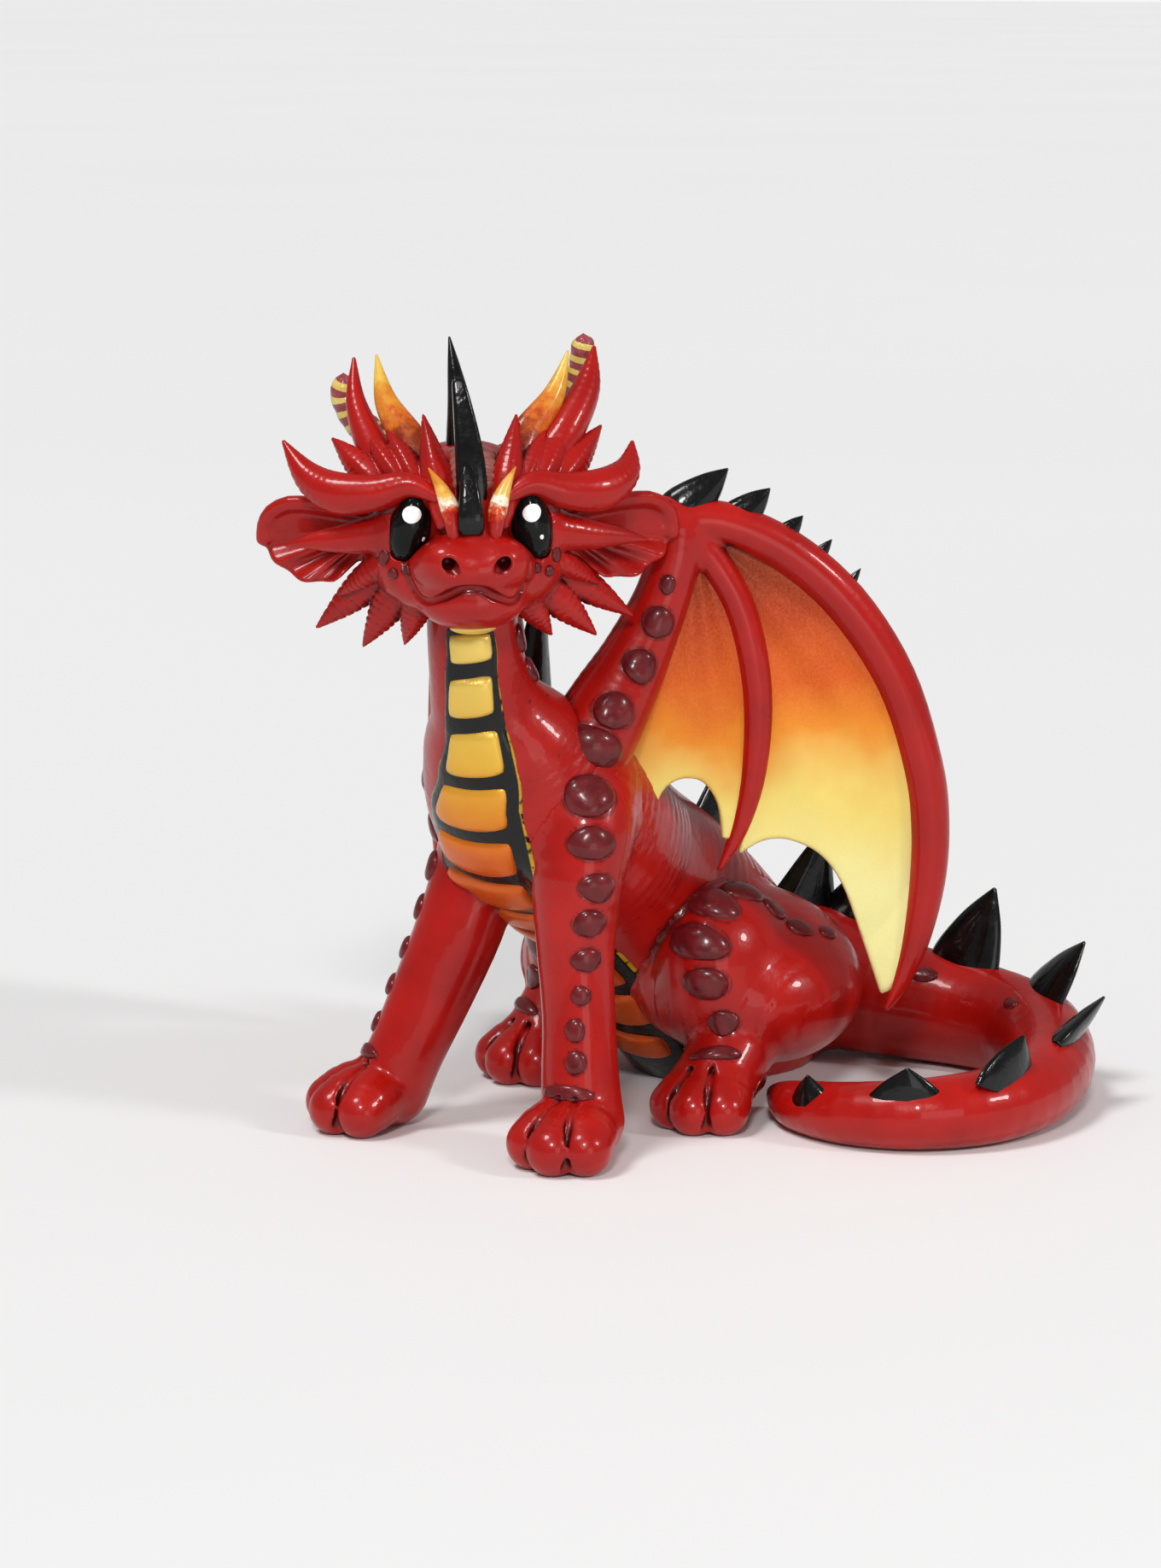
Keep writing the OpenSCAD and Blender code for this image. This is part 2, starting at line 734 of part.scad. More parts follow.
module wing_frame(side) {
    color(red)
        to_side(side) {
            difference() {
                wing_place() arm();
                torso_shape();
            }
            wing_tenon(tenon_play);
            wing_place() finger(first_finger, 8);
            wing_place() finger(second_finger, 8);
        }
}
module wing_frame_left() wing_frame(1);
module wing_frame_right() wing_frame(-1);

// A flat sheet in the wing's plane
module sheet(outline) {
    wing_place()
        rotate([90, 0, 0])
        linear_extrude(membrane_thickness, center = true)
        polygon(outline);
}

inner_outline = [
    [12, 62.5], [9.5, 57.5], [6.5, 51], [3.6, 45.5], [3, 40.5], [4.5, 39], [8, 35],
    [8.8, 37], [9.8, 38], [11.5, 38.5], [13.8, 38], [15.3, 35.5], [15.7, 32], [17, 32.5],
    [18.5, 39.5], [18.9, 48], [17, 56], [14, 61.5]
];
outer_outline = [
    [14, 64], [17.5, 57], [19.5, 48], [19.3, 39.5], [18, 33.5], [17.4, 30], [20, 31.4], [22.6, 31.5],
    [26.2, 30], [28.6, 27], [30.6, 22.5], [33, 15], [35, 15], [37, 20], [38, 26.5],
    [38, 33], [37, 39.5], [34, 48.6], [28.5, 56.6], [22, 62], [16.5, 65]
];

module inner_membrane(side) {
    color(orange) to_side(side) sheet(inner_outline);
}
module inner_membrane_left() inner_membrane(1);
module inner_membrane_right() inner_membrane(-1);

module outer_membrane(side) {
    color(gold) to_side(side) sheet(outer_outline);
}
module outer_membrane_left() outer_membrane(1);
module outer_membrane_right() outer_membrane(-1);

// Scales up the arm: along, height, half length, half width, lift from the wing's plane
arm_scale_list = [
    [9, 60.1, 1, 1.1, 2.8], [8, 56.1, 1.7, 1.8, 3.1], [5.9, 51.6, 1.9, 1.9, 3.7], [2.9, 47.2, 2.3, 2, 5.6],
    [0.3, 43.6, 3, 2.1, 7]
];
module wing_scales(side) {
    color(maroon)
        to_side(side)
            wing_place()
                for (s = arm_scale_list)
                    scale_at([s[0], 0.1 - s[4], s[1]], [0, -1, 0], s[3], s[2]);
}
module wing_scales_left() wing_scales(1);
module wing_scales_right() wing_scales(-1);

wing_spike_list = [
    [[10.6, 67.2], [16, 72], 6.4], [[17, 66.4], [20.6, 69.8], 4.8], [[22, 64.4], [24.2, 66.8], 2.6],
    [[25.6, 62], [27.4, 64.2], 1.9], [[29, 58.8], [30.6, 61], 1.5]
];
module wing_spikes(side) {
    color(black)
        to_side(side)
            wing_place()
                for (s = wing_spike_list)
                    spike([s[0][0], 0, s[0][1]], [s[1][0], 0, s[1][1]], s[2], s[2] * 0.6, [0, 1, 0]);
}
module wing_spikes_left() wing_spikes(1);
module wing_spikes_right() wing_spikes(-1);

torso();
foreleg_left();
foreleg_right();
hind_leg_left();
hind_leg_right();
tail();
head();
belly_band();
belly_plates();
neck_scales();
foreleg_scales_left();
foreleg_scales_right();
hind_scales_left();
hind_scales_right();
tail_scales();
back_spikes();
tail_spikes();
chin_plate();
eye_left();
eye_right();
catchlight_left();
catchlight_right();
brow_horn_left();
brow_horn_right();
crest_left();
crest_right();
red_horn_left();
red_horn_right();
flame_horn_left();
flame_horn_right();
striped_horn_left();
striped_horn_right();
brow_flame_left();
brow_flame_right();
ear_left();
ear_right();
ear_spine_left();
ear_spine_right();
cheek_frill_left();
cheek_frill_right();
head_spikes();
crown_patch();
cheek_scales_left();
cheek_scales_right();
wing_frame_left();
wing_frame_right();
inner_membrane_left();
inner_membrane_right();
outer_membrane_left();
outer_membrane_right();
wing_scales_left();
wing_scales_right();
wing_spikes_left();
wing_spikes_right();
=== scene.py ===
"""A seated red dragon figurine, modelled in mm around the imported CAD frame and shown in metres.

The dragon faces -Y, its left is +X, and it sits on Z = 0. Body, limbs and head are sculpted as fields
of distance, meshed and drawn tight to the true surface. Horns, spikes and scales are swept or laid.
"""
import math

import bpy
import numpy as np
import openvdb
from mathutils import Matrix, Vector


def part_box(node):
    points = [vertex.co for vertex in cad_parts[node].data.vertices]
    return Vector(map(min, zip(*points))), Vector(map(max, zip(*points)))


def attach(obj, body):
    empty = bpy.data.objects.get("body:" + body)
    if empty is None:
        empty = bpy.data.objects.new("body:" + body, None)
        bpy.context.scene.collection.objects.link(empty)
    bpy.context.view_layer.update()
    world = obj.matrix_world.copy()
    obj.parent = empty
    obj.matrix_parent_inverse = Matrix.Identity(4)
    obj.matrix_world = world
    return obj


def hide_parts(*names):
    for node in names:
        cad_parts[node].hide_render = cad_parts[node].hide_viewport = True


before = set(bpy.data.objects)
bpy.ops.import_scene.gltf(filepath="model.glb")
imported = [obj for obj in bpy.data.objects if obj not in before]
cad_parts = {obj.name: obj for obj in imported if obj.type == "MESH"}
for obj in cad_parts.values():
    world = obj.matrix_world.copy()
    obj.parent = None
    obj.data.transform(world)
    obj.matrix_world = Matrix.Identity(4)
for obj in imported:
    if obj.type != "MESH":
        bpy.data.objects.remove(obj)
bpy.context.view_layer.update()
MM = 0.001
COARSE = 1.0


# ---------- curves ----------

def smooth_line(points, steps):
    """A finer Catmull-Rom curve through rows of numbers."""
    p = np.array(points, float)
    last = len(p) - 1
    rows = []
    for i in range(last):
        a, b, c, d = p[max(i - 1, 0)], p[i], p[i + 1], p[min(i + 2, last)]
        for t in np.arange(steps) / steps:
            bend = (2 * a - 5 * b + 4 * c - d) * t * t + (3 * b - a - 3 * c + d) * t ** 3
            rows.append(0.5 * (2 * b + (c - a) * t + bend))
    rows.append(p[-1])
    return np.array(rows)


def unit(v):
    v = np.asarray(v, float)
    return v / np.maximum(np.linalg.norm(v, axis=-1, keepdims=True), 1e-9)


def tangents(line):
    return unit(np.gradient(line[:, :3], axis=0))


def frames(line, hint):
    """Across and other directions of each ring of a sweep, square to the curve."""
    way = tangents(line)
    across = unit(np.cross(np.array(hint, float), way))
    return way, across, np.cross(way, across)


def turned(degrees):
    """A turn about Z as a matrix."""
    c, s = math.cos(math.radians(degrees)), math.sin(math.radians(degrees))
    return np.array([[c, -s, 0], [s, c, 0], [0, 0, 1]])


def compass(azimuth, elevation):
    """The direction at two angles in degrees: azimuth 0 is in front of the dragon and 90 is on its left."""
    a, e = math.radians(azimuth), math.radians(elevation)
    return np.array([math.sin(a) * math.cos(e), -math.cos(a) * math.cos(e), math.sin(e)])


# ---------- fields: functions from points in mm to a distance, negative inside ----------

def smooth_min(a, b, k):
    h = np.maximum(k - np.abs(a - b), 0) / k
    return np.minimum(a, b) - h * h * k / 4


def joined(blend, *shapes):
    def field(p):
        total = shapes[0](p)
        for shape in shapes[1:]:
            total = smooth_min(total, shape(p), blend)
        return total
    return field


def ellipsoid(centre, radii):
    c, r = np.array(centre, float), np.array(radii, float)

    def field(p):
        q = (p - c) / r
        k = np.linalg.norm(q, axis=1)
        return (k - 1) * k / np.maximum(np.linalg.norm(q / r, axis=1), 1e-6)
    return field


def nearest(line, p, reach):
    """For each point, where along the line it is nearest, once the reach at each row is taken off."""
    near = np.full(len(p), 1e9)
    place = np.zeros(len(p))
    for i in range(len(line) - 1):
        a, step = line[i, :3], line[i + 1, :3] - line[i, :3]
        t = np.clip((p - a) @ step / max(step @ step, 1e-9), 0, 1)
        gap = np.linalg.norm(p - a - t[:, None] * step, axis=1) - reach[i] - (reach[i + 1] - reach[i]) * t
        closer = gap < near
        near[closer] = gap[closer]
        place[closer] = i + t[closer]
    return near, place


def boxed(shape, low, high, near=3.5):
    """The same field, worked out only near its box. Further away the distance to the box stands in."""
    def field(p):
        gap = np.linalg.norm(np.maximum(np.maximum(low - p, p - high), 0), axis=1)
        close = gap < near
        gap[close] = shape(p[close])
        return gap
    return field


def tube(points, steps=4):
    """A round limb through rows of x, y, z, radius."""
    line = smooth_line(points, steps)
    spread = line[:, 3:4]
    low, high = (line[:, :3] - spread).min(0), (line[:, :3] + spread).max(0)
    return boxed(lambda p: nearest(line, p, line[:, 3])[0], low, high)


def strap(points, hint, steps=4, power=2.0):
    """A limb of oval section through rows of x, y, z, half width across, half width the other way."""
    line = smooth_line(points, steps)
    way, across, other = frames(line, hint)
    reach = np.minimum(line[:, 3], line[:, 4])

    def field(p):
        place = nearest(line, p, reach)[1]
        i = np.minimum(place.astype(int), len(line) - 2)
        t = (place - i)[:, None]
        mid = line[i] * (1 - t) + line[i + 1] * t
        q = p - mid[:, :3]
        size = np.stack([mid[:, 3], mid[:, 4], np.minimum(mid[:, 3], mid[:, 4])], 1)
        axes = [v[i] * (1 - t) + v[i + 1] * t for v in (across, other, way)]
        r = np.abs(np.stack([(q * v).sum(1) for v in axes], 1)) / size
        k = np.maximum((r ** power).sum(1) ** (1 / power), 1e-6)
        slope = np.linalg.norm((r / k[:, None]) ** (power - 1) / size, axis=1)
        return (k - 1) / np.maximum(slope, 1e-6)
    spread = line[:, 3:5].max(1)[:, None]
    return boxed(field, (line[:, :3] - spread).min(0), (line[:, :3] + spread).max(0))


def mirrored(shape):
    """The same shape on the dragon's other side."""
    return lambda p: shape(p * np.array([-1.0, 1.0, 1.0]))


def shifted(shape, move):
    return lambda p: shape(p - np.array(move, float))


def above_ground(shape):
    return lambda p: np.maximum(shape(p), -p[:, 2])


def grown_from(limb, root, blend, sink=0.6):
    """The limb with a fillet onto its root, cut off a little under the root's skin."""
    thin, steep = 0.03, 3  # The fillet ends where it is this thin, with a sharp edge

    def field(p):
        own, base = limb(p), root(p)
        both = smooth_min(own, base, blend)
        return np.maximum(np.maximum(both, -base - sink), (both - base + thin) * steep)
    return field


def polygon_distance(q, outline):
    """Signed distance in a plane from points to a closed outline."""
    best = np.full(len(q), 1e9)
    inside = np.zeros(len(q), bool)
    for a, b in zip(outline, np.roll(outline, -1, axis=0)):
        step = b - a
        t = np.clip((q - a) @ step / max(step @ step, 1e-9), 0, 1)
        best = np.minimum(best, np.linalg.norm(q - a - t[:, None] * step, axis=1))
        if a[1] != b[1]:
            crosses = (q[:, 1] < a[1]) != (q[:, 1] < b[1])
            inside ^= crosses & (q[:, 0] < a[0] + step[0] * (q[:, 1] - a[1]) / step[1])
    return np.where(inside, -best, best)


# ---------- meshes ----------

def gradient(field, p, step=0.02):
    here = field(p)
    slopes = [(field(p + step * axis) - here) / step for axis in np.eye(3)]
    return here, np.stack(slopes, 1)


def sculpt(field, low, high, voxel):
    """Points and quads of the surface where a field is 0, in a box. Only blocks near it are made fine."""
    # A block's side and its reach in voxels, and the value of empty space
    side, close, outside = 4, 6.5, 1000.0
    voxel = voxel * COARSE
    low = np.array(low, float)
    blocks = np.ceil((np.array(high, float) - low) / (side * voxel)).astype(int) + 1
    middles = [low[i] + (side * np.arange(blocks[i]) + (side - 1) / 2) * voxel for i in range(3)]
    points = np.stack(np.meshgrid(*middles, indexing="ij"), -1).reshape(-1, 3)
    rough = field(points).reshape(blocks)
    values = rough.repeat(side, 0).repeat(side, 1).repeat(side, 2).astype(np.float32)
    near = np.argwhere(np.abs(rough) < close * voxel)
    cell = np.stack(np.meshgrid(*[np.arange(side)] * 3, indexing="ij"), -1).reshape(-1, 3)
    index = (near[:, None] * side + cell[None]).reshape(-1, 3)
    values[tuple(index.T)] = field(low + index * voxel)
    grid = openvdb.FloatGrid(outside)
    grid.copyFromArray(values)
    spots, quads = grid.convertToQuads(isovalue=0.0)
    verts = low + np.asarray(spots, float) * voxel
    for _ in range(2):
        here, slope = gradient(field, verts)
        steep = np.maximum((slope ** 2).sum(1), 0.3)
        verts = verts - slope * np.clip(here / steep, -voxel, voxel)[:, None]
    return verts, np.asarray(quads, int)


def facing_out(verts, faces):
    """Faces turned so that the closed mesh has a positive volume."""
    tri = verts[faces[:, :3]]
    other = verts[faces[:, [0, 2, 3]]] if faces.shape[1] == 4 else tri[:0]
    volume = sum((t[:, 0] * np.cross(t[:, 1], t[:, 2])).sum() for t in (tri, other))
    return faces if volume > 0 else faces[:, ::-1]


def make_piece(name, verts, faces, nodes, slot, material, marks=None):
    """A smooth-shaded object from points in mm, riding the body and standing for its CAD nodes."""
    mesh = bpy.data.meshes.new(name)
    mesh.from_pydata((np.asarray(verts) * MM).tolist(), [], [list(f) for f in faces])
    mesh.polygons.foreach_set("use_smooth", np.ones(len(mesh.polygons), bool))
    for key, values in (marks or {}).items():
        mesh.attributes.new(key, "FLOAT", "POINT").data.foreach_set("value", np.asarray(values, np.float32))
    mesh.validate()
    piece = bpy.data.objects.new(name, mesh)
    bpy.context.scene.collection.objects.link(piece)
    mesh.materials.append(material)
    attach(piece, "root")
    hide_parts(*nodes)


def crease(verts, around, reach=1.3):
    """How deep in a crease each point is, from 0 on open skin to 1."""
    _, slope = gradient(around, verts)
    ahead = around(verts + unit(slope) * reach)
    return np.clip(1 - ahead / reach, 0, 1)


def sculpted_piece(name, field, box, voxel, around, nodes, rims=(), place=None):
    """A red piece from a field, with its creases marked for painted shade and the paint's dark wash."""
    verts, quads = sculpt(field, box[0], box[1], voxel)
    wash_and_shade = crease(verts, around)
    if place is not None:
        verts = place(verts)
    # Painted shade and dark wash in the crease round each scale
    for rim in rims:
        wash_and_shade = np.maximum(wash_and_shade, rim_shade_and_wash(verts, rim))
    verts[:, 2] = np.maximum(verts[:, 2], 0)
    quads = facing_out(verts, quads)
    make_piece(name, verts, quads, nodes, "red_skin", RED, {"wash_and_shade": wash_and_shade})


def rim_shade_and_wash(verts, rim):
    """Painted shade, with the paint's dark wash, in the crease round one scale, on points near its plane."""
    centre, out, side, up, a, b = rim
    q = verts - centre
    r = np.sqrt((q @ side / a) ** 2 + (q @ up / b) ** 2)
    close = np.abs(q @ out) < 1.2
    line, width, dark = 1.06, 0.09, 0.75
    return dark * close * np.exp(-((r - line) / width) ** 2)


def tube_faces(rings, sides):
    """Quads between rings, and a fan at each end onto two last points."""
    faces = []
    for i in range(rings - 1):
        for j in range(sides):
            k = (j + 1) % sides
            faces.append((i * sides + j, i * sides + k, (i + 1) * sides + k, (i + 1) * sides + j))
    first, last, base = rings * sides, rings * sides + 1, (rings - 1) * sides
    for j in range(sides):
        k = (j + 1) % sides
        faces.append((k, j, first))
        faces.append((base + j, base + k, last))
    return faces


def swept(points, hint, sides, steps, section=None, stripes=0):
    """A horn or spike through rows of x, y, z, half width, half width the other way.

    section(angle, along) scales the ring. Returns points, faces and marks along and stripe."""
    line = smooth_line(points, steps)
    way, across, other = frames(line, hint)
    along = np.concatenate([[0], np.cumsum(np.linalg.norm(np.diff(line[:, :3], axis=0), axis=1))])
    along = along / along[-1]
    angle = np.arange(sides) / sides * 2 * math.pi
    verts, mark, stripe = [], [], []
    for i, row in enumerate(line):
        phase = stripes * along[i] + angle / (2 * math.pi)
        wave = np.sin(2 * math.pi * phase) if stripes else np.zeros(sides)
        scale = 1 + (0.07 * np.abs(np.cos(math.pi * phase)) if stripes else 0)
        if section:
            scale = scale * section(angle, along[i])
        u, v = row[3] * np.cos(angle) * scale, row[4] * np.sin(angle) * scale
        verts.append(row[:3] + u[:, None] * across[i] + v[:, None] * other[i])
        mark.append(np.full(sides, along[i]))
        stripe.append(wave)
    tip = line[-1, :3] + way[-1] * min(line[-1, 3], line[-1, 4]) * 0.7
    verts.append(np.array([line[0, :3], tip]))
    mark.append([0, 1])
    stripe.append([0, 0])
    return np.concatenate(verts), tube_faces(len(line), sides), np.concatenate(mark), np.concatenate(stripe)


def merged(meshes):
    """Points and faces of several meshes as one. Anything else a mesh comes with is passed over."""
    verts, faces, start = [], [], 0
    for v, f, *_ in meshes:
        verts.append(v)
        faces += [tuple(i + start for i in face) for face in f]
        start += len(v)
    return np.concatenate(verts), faces


def gathered(parts):
    """Several swept parts as one mesh, with their marks."""
    verts, faces = merged(parts)
    along, stripe = (np.concatenate([part[k] for part in parts]) for k in (2, 3))
    return verts, faces, {"along": along, "stripe": stripe}


# ---------- materials ----------

def srgb(red, green, blue):
    """An sRGB colour of 0 to 255 as linear light."""
    def line(c):
        c = c / 255
        return c / 12.92 if c <= 0.04045 else ((c + 0.055) / 1.055) ** 2.4
    return (line(red), line(green), line(blue), 1.0)


class Paint:
    """A painted-resin material being put together. Its marks are the meshes' own point values."""

    def __init__(self, name, roughness=0.3, coat=0.3, coat_roughness=0.12, metallic=0.0):
        self.material = bpy.data.materials.new(name)
        self.material.use_nodes = True
        self.nodes = self.material.node_tree.nodes
        self.shader = self.nodes["Principled BSDF"]
        self.shader.inputs["Roughness"].default_value = roughness
        self.shader.inputs["Coat Weight"].default_value = coat
        self.shader.inputs["Coat Roughness"].default_value = coat_roughness
        self.shader.inputs["Metallic"].default_value = metallic
        self.shader.inputs["Specular IOR Level"].default_value = 0.2
        self.where = self.nodes.new("ShaderNodeTexCoord").outputs["Object"]

    def link(self, out, into):
        self.material.node_tree.links.new(out, into)

    def noise(self, size_mm, detail=3.0, rough=0.5):
        """Noise whose patches are about size_mm across, from 0 to 1."""
        node = self.nodes.new("ShaderNodeTexNoise")
        node.inputs["Scale"].default_value = 1 / (size_mm * MM)
        node.inputs["Detail"].default_value = detail
        node.inputs["Roughness"].default_value = rough
        self.link(self.where, node.inputs["Vector"])
        return node.outputs["Fac"]

    def mark(self, name):
        node = self.nodes.new("ShaderNodeAttribute")
        node.attribute_name = name
        return node.outputs["Fac"]

    def height(self):
        node = self.nodes.new("ShaderNodeSeparateXYZ")
        self.link(self.where, node.inputs[0])
        return node.outputs["Z"]

    def spread(self, value, low, high, to_low=0.0, to_high=1.0):
        node = self.nodes.new("ShaderNodeMapRange")
        for key, number in zip(("From Min", "From Max", "To Min", "To Max"), (low, high, to_low, to_high)):
            node.inputs[key].default_value = number
        self.link(value, node.inputs["Value"])
        return node.outputs["Result"]

    def sum(self, a, b, operation="ADD"):
        node = self.nodes.new("ShaderNodeMath")
        node.operation = operation
        for socket, value in zip(node.inputs, (a, b)):
            if isinstance(value, (int, float)):
                socket.default_value = value
            else:
                self.link(value, socket)
        return node.outputs["Value"]

    def ramp(self, value, *stops):
        """Colours at places from 0 to 1."""
        node = self.nodes.new("ShaderNodeValToRGB")
        ramp = node.color_ramp
        while len(ramp.elements) < len(stops):
            ramp.elements.new(0.5)
        for element, (place, colour) in zip(ramp.elements, stops):
            element.position = place
            element.color = colour
        self.link(value, node.inputs["Fac"])
        return node.outputs["Color"]

    def mix(self, share, a, b):
        node = self.nodes.new("ShaderNodeMix")
        node.data_type = "RGBA"
        sockets = [s for s in node.inputs if s.type == "RGBA"]
        for socket, value in zip(sockets, (a, b)):
            if isinstance(value, tuple):
                socket.default_value = value
            else:
                self.link(value, socket)
        self.link(share, node.inputs["Factor"])
        return [s for s in node.outputs if s.type == "RGBA"][0]

    def colour(self, value):
        self.link(value, self.shader.inputs["Base Color"])

    def mottle(self, size_mm, dark, light, detail=3, light_at=0.7):
        """Patches of two sRGB colours."""
        return self.ramp(self.noise(size_mm, detail), (0.3, srgb(*dark)), (light_at, srgb(*light)))

    def rough(self, size_mm, detail, low, high):
        """Roughness that drifts between two values."""
        drift = self.spread(self.noise(size_mm, detail), 0.3, 0.7, low, high)
        self.link(drift, self.shader.inputs["Roughness"])

    def bump(self, height, depth_mm, strength):
        node = self.nodes.new("ShaderNodeBump")
        node.inputs["Distance"].default_value = depth_mm * MM
        node.inputs["Strength"].default_value = strength
        self.link(height, node.inputs["Height"])
        self.link(node.outputs["Normal"], self.shader.inputs["Normal"])


def plain_paint(name, mottle, bump, rough=None, light_at=0.7, **finish):
    """A paint of two mottled colours. mottle, bump and rough are what those Paint calls take; a bump starts
    with its noise's size and detail."""
    paint = Paint(name, **finish)
    paint.colour(paint.mottle(*mottle, light_at=light_at))
    if rough:
        paint.rough(*rough)
    size, detail, depth, strength = bump
    paint.bump(paint.noise(size, detail), depth, strength)
    return paint.material


def red_paint():
    paint = Paint("red_resin", coat=0.3, coat_roughness=0.05)
    base = paint.mottle(7, (152, 12, 8), (174, 19, 12))
    # Darker red in creases: painted shade, together with the dark wash in the figurine's paint
    wash_and_shade = paint.spread(paint.mark("wash_and_shade"), 0.25, 0.85, 0, 0.9)
    paint.colour(paint.mix(wash_and_shade, base, srgb(66, 6, 8)))
    paint.rough(2.5, 4, 0.26, 0.38)
    lumps = paint.sum(paint.noise(2.2, 2), paint.sum(paint.noise(0.35, 2), 0.2, "MULTIPLY"))
    paint.bump(lumps, 0.13, 0.65)
    return paint.material


def band_paint():
    paint = Paint("band_black", coat=0.3, coat_roughness=0.08)
    line = paint.spread(paint.mark("across"), 0.93, 0.95)
    black = paint.mottle(1.5, (3, 3, 3), (14, 12, 9), light_at=0.75)
    worn = paint.sum(line, paint.spread(paint.noise(1.4, 3), 0.42, 0.5), "MULTIPLY")
    paint.colour(paint.mix(worn, black, srgb(190, 150, 40)))
    paint.rough(0.8, 3, 0.15, 0.32)
    paint.bump(paint.noise(0.9, 3), 0.2, 0.6)
    return paint.material


def plate_paint():
    paint = Paint("gold_plate", coat=0.3, coat_roughness=0.15, metallic=0.35)
    height = paint.sum(paint.height(), paint.spread(paint.noise(2.5), 0, 1, -0.0012, 0.0012))
    fall = paint.spread(height, 0.018, 0.054)
    base = paint.ramp(
        fall, (0.0, srgb(205, 84, 14)), (0.36, srgb(214, 96, 16)), (0.52, srgb(224, 142, 34)),
        (0.68, srgb(228, 178, 60)), (1.0, srgb(228, 196, 98)))
    edge = paint.spread(paint.mark("edge"), 0.7, 1.0, 0, 0.55)
    paint.colour(paint.mix(edge, base, srgb(170, 78, 14)))
    paint.rough(0.5, 4, 0.28, 0.42)
    paint.bump(paint.noise(0.22, 2), 0.05, 0.5)
    return paint.material


def membrane_paint():
    paint = Paint("wing_membrane", coat=0.12, coat_roughness=0.25, metallic=0.3)
    drift = paint.spread(paint.noise(9, 3, 0.5), 0.2, 0.8, -0.003, 0.003)
    fall = paint.spread(paint.sum(paint.height(), drift), 0.026, 0.064)
    base = paint.ramp(
        fall, (0.0, srgb(240, 234, 160)), (0.27, srgb(234, 210, 112)), (0.46, srgb(226, 134, 32)),
        (0.6, srgb(206, 84, 14)), (0.8, srgb(174, 50, 12)), (1.0, srgb(128, 32, 14)))
    speckle = paint.spread(paint.noise(0.28, 2, 0.7), 0.35, 0.72, 0, 0.12)
    paint.colour(paint.mix(speckle, base, srgb(240, 176, 88)))
    paint.rough(0.4, 3, 0.3, 0.46)
    folds = paint.sum(paint.noise(3.5, 2), 2.5, "MULTIPLY")
    paint.bump(paint.sum(paint.noise(0.16, 2), folds), 0.035, 0.5)
    return paint.material


def flame_paint(name, *stops):
    """Streaked flame colours along a horn."""
    paint = Paint(name, coat=0.35, coat_roughness=0.12)
    streak = paint.spread(paint.noise(1.3, 5, 0.65), 0.25, 0.75, -0.2, 0.2)
    fall = paint.sum(paint.mark("along"), streak)
    paint.colour(paint.ramp(fall, *stops))
    paint.rough(0.9, 3, 0.22, 0.36)
    paint.bump(paint.noise(0.8, 3), 0.1, 0.5)
    return paint.material


def stripe_paint():
    paint = Paint("striped_horn", coat=0.35, coat_roughness=0.14)
    wave = paint.sum(paint.mark("stripe"), paint.spread(paint.noise(0.8), 0, 1, -0.25, 0.25))
    bands = paint.spread(wave, 0.12, 0.32)
    yellow = paint.mottle(0.9, (206, 176, 78), (224, 204, 120), 4)
    pink = paint.mottle(0.9, (136, 48, 56), (160, 78, 82), 4)
    paint.colour(paint.mix(bands, pink, yellow))
    paint.rough(0.7, 3, 0.26, 0.42)
    paint.bump(paint.noise(0.6, 3), 0.08, 0.5)
    return paint.material


RED = red_paint()
MAROON = plain_paint(
    "maroon_resin", (1.6, (84, 10, 16), (112, 24, 28), 4), (0.5, 3, 0.08, 0.5), (0.9, 3, 0.25, 0.42), coat=0.35)
BLACK = plain_paint(
    "black_gloss", (2.5, (3, 3, 3), (12, 13, 12)), (1.1, 3, 0.16, 0.55), (1.5, 4, 0.14, 0.3), light_at=0.75,
    coat_roughness=0.05)
BAND = band_paint()
PLATE = plate_paint()
MEMBRANE = membrane_paint()
FLAME = flame_paint(
    "flame_horn", (0.1, srgb(84, 20, 12)), (0.32, srgb(142, 52, 20)), (0.5, srgb(204, 96, 28)),
    (0.72, srgb(214, 146, 46)), (0.95, srgb(226, 186, 80)))
BROW_FLAME = flame_paint(
    "brow_flame", (0.26, srgb(164, 18, 14)), (0.38, srgb(206, 84, 36)), (0.48, srgb(250, 240, 220)),
    (0.62, srgb(236, 184, 90)), (0.9, srgb(206, 130, 34)))
STRIPED = stripe_paint()
EYE = plain_paint("eye_black", (3, (6, 7, 7), (17, 19, 20)), (2.0, 2, 0.03, 0.3), roughness=0.12, coat=0.0)
WHITE = plain_paint("eye_white", (0.5, (238, 238, 236), (252, 252, 250)), (0.3, 2, 0.03, 0.4), roughness=0.25)
CROWN = plain_paint(
    "crown_pink", (1.2, (132, 58, 56), (172, 112, 104), 4), (0.5, 3, 0.1, 0.5), (0.7, 3, 0.28, 0.42), coat=0.4,
    coat_roughness=0.15)


# ---------- body ----------

# Spine: x, y, z, half width across, half depth. Places along the belly count rows of the line with SPINE_STEP
SPINE = [
    [0, 6.5, 1, 7, 6], [0, 4, 6, 11.5, 12], [0, -2.2, 12, 12.2, 13], [0, -11, 20.5, 11.6, 11.8],
    [0, -20, 27, 11, 10.9], [0, -28, 32, 12.2, 11.3], [0, -34, 36.5, 12.2, 10.7], [0, -38.6, 41.8, 10, 8.2],
    [0, -41.6, 46, 7.1, 6.2], [0, -43.8, 50, 5.6, 5.3], [0, -45.2, 55, 4.8, 5], [0, -45.5, 59, 4.7, 4.9],
]
SPINE_STEP = 3
torso = above_ground(strap(SPINE, (0, 1, 0), 7))


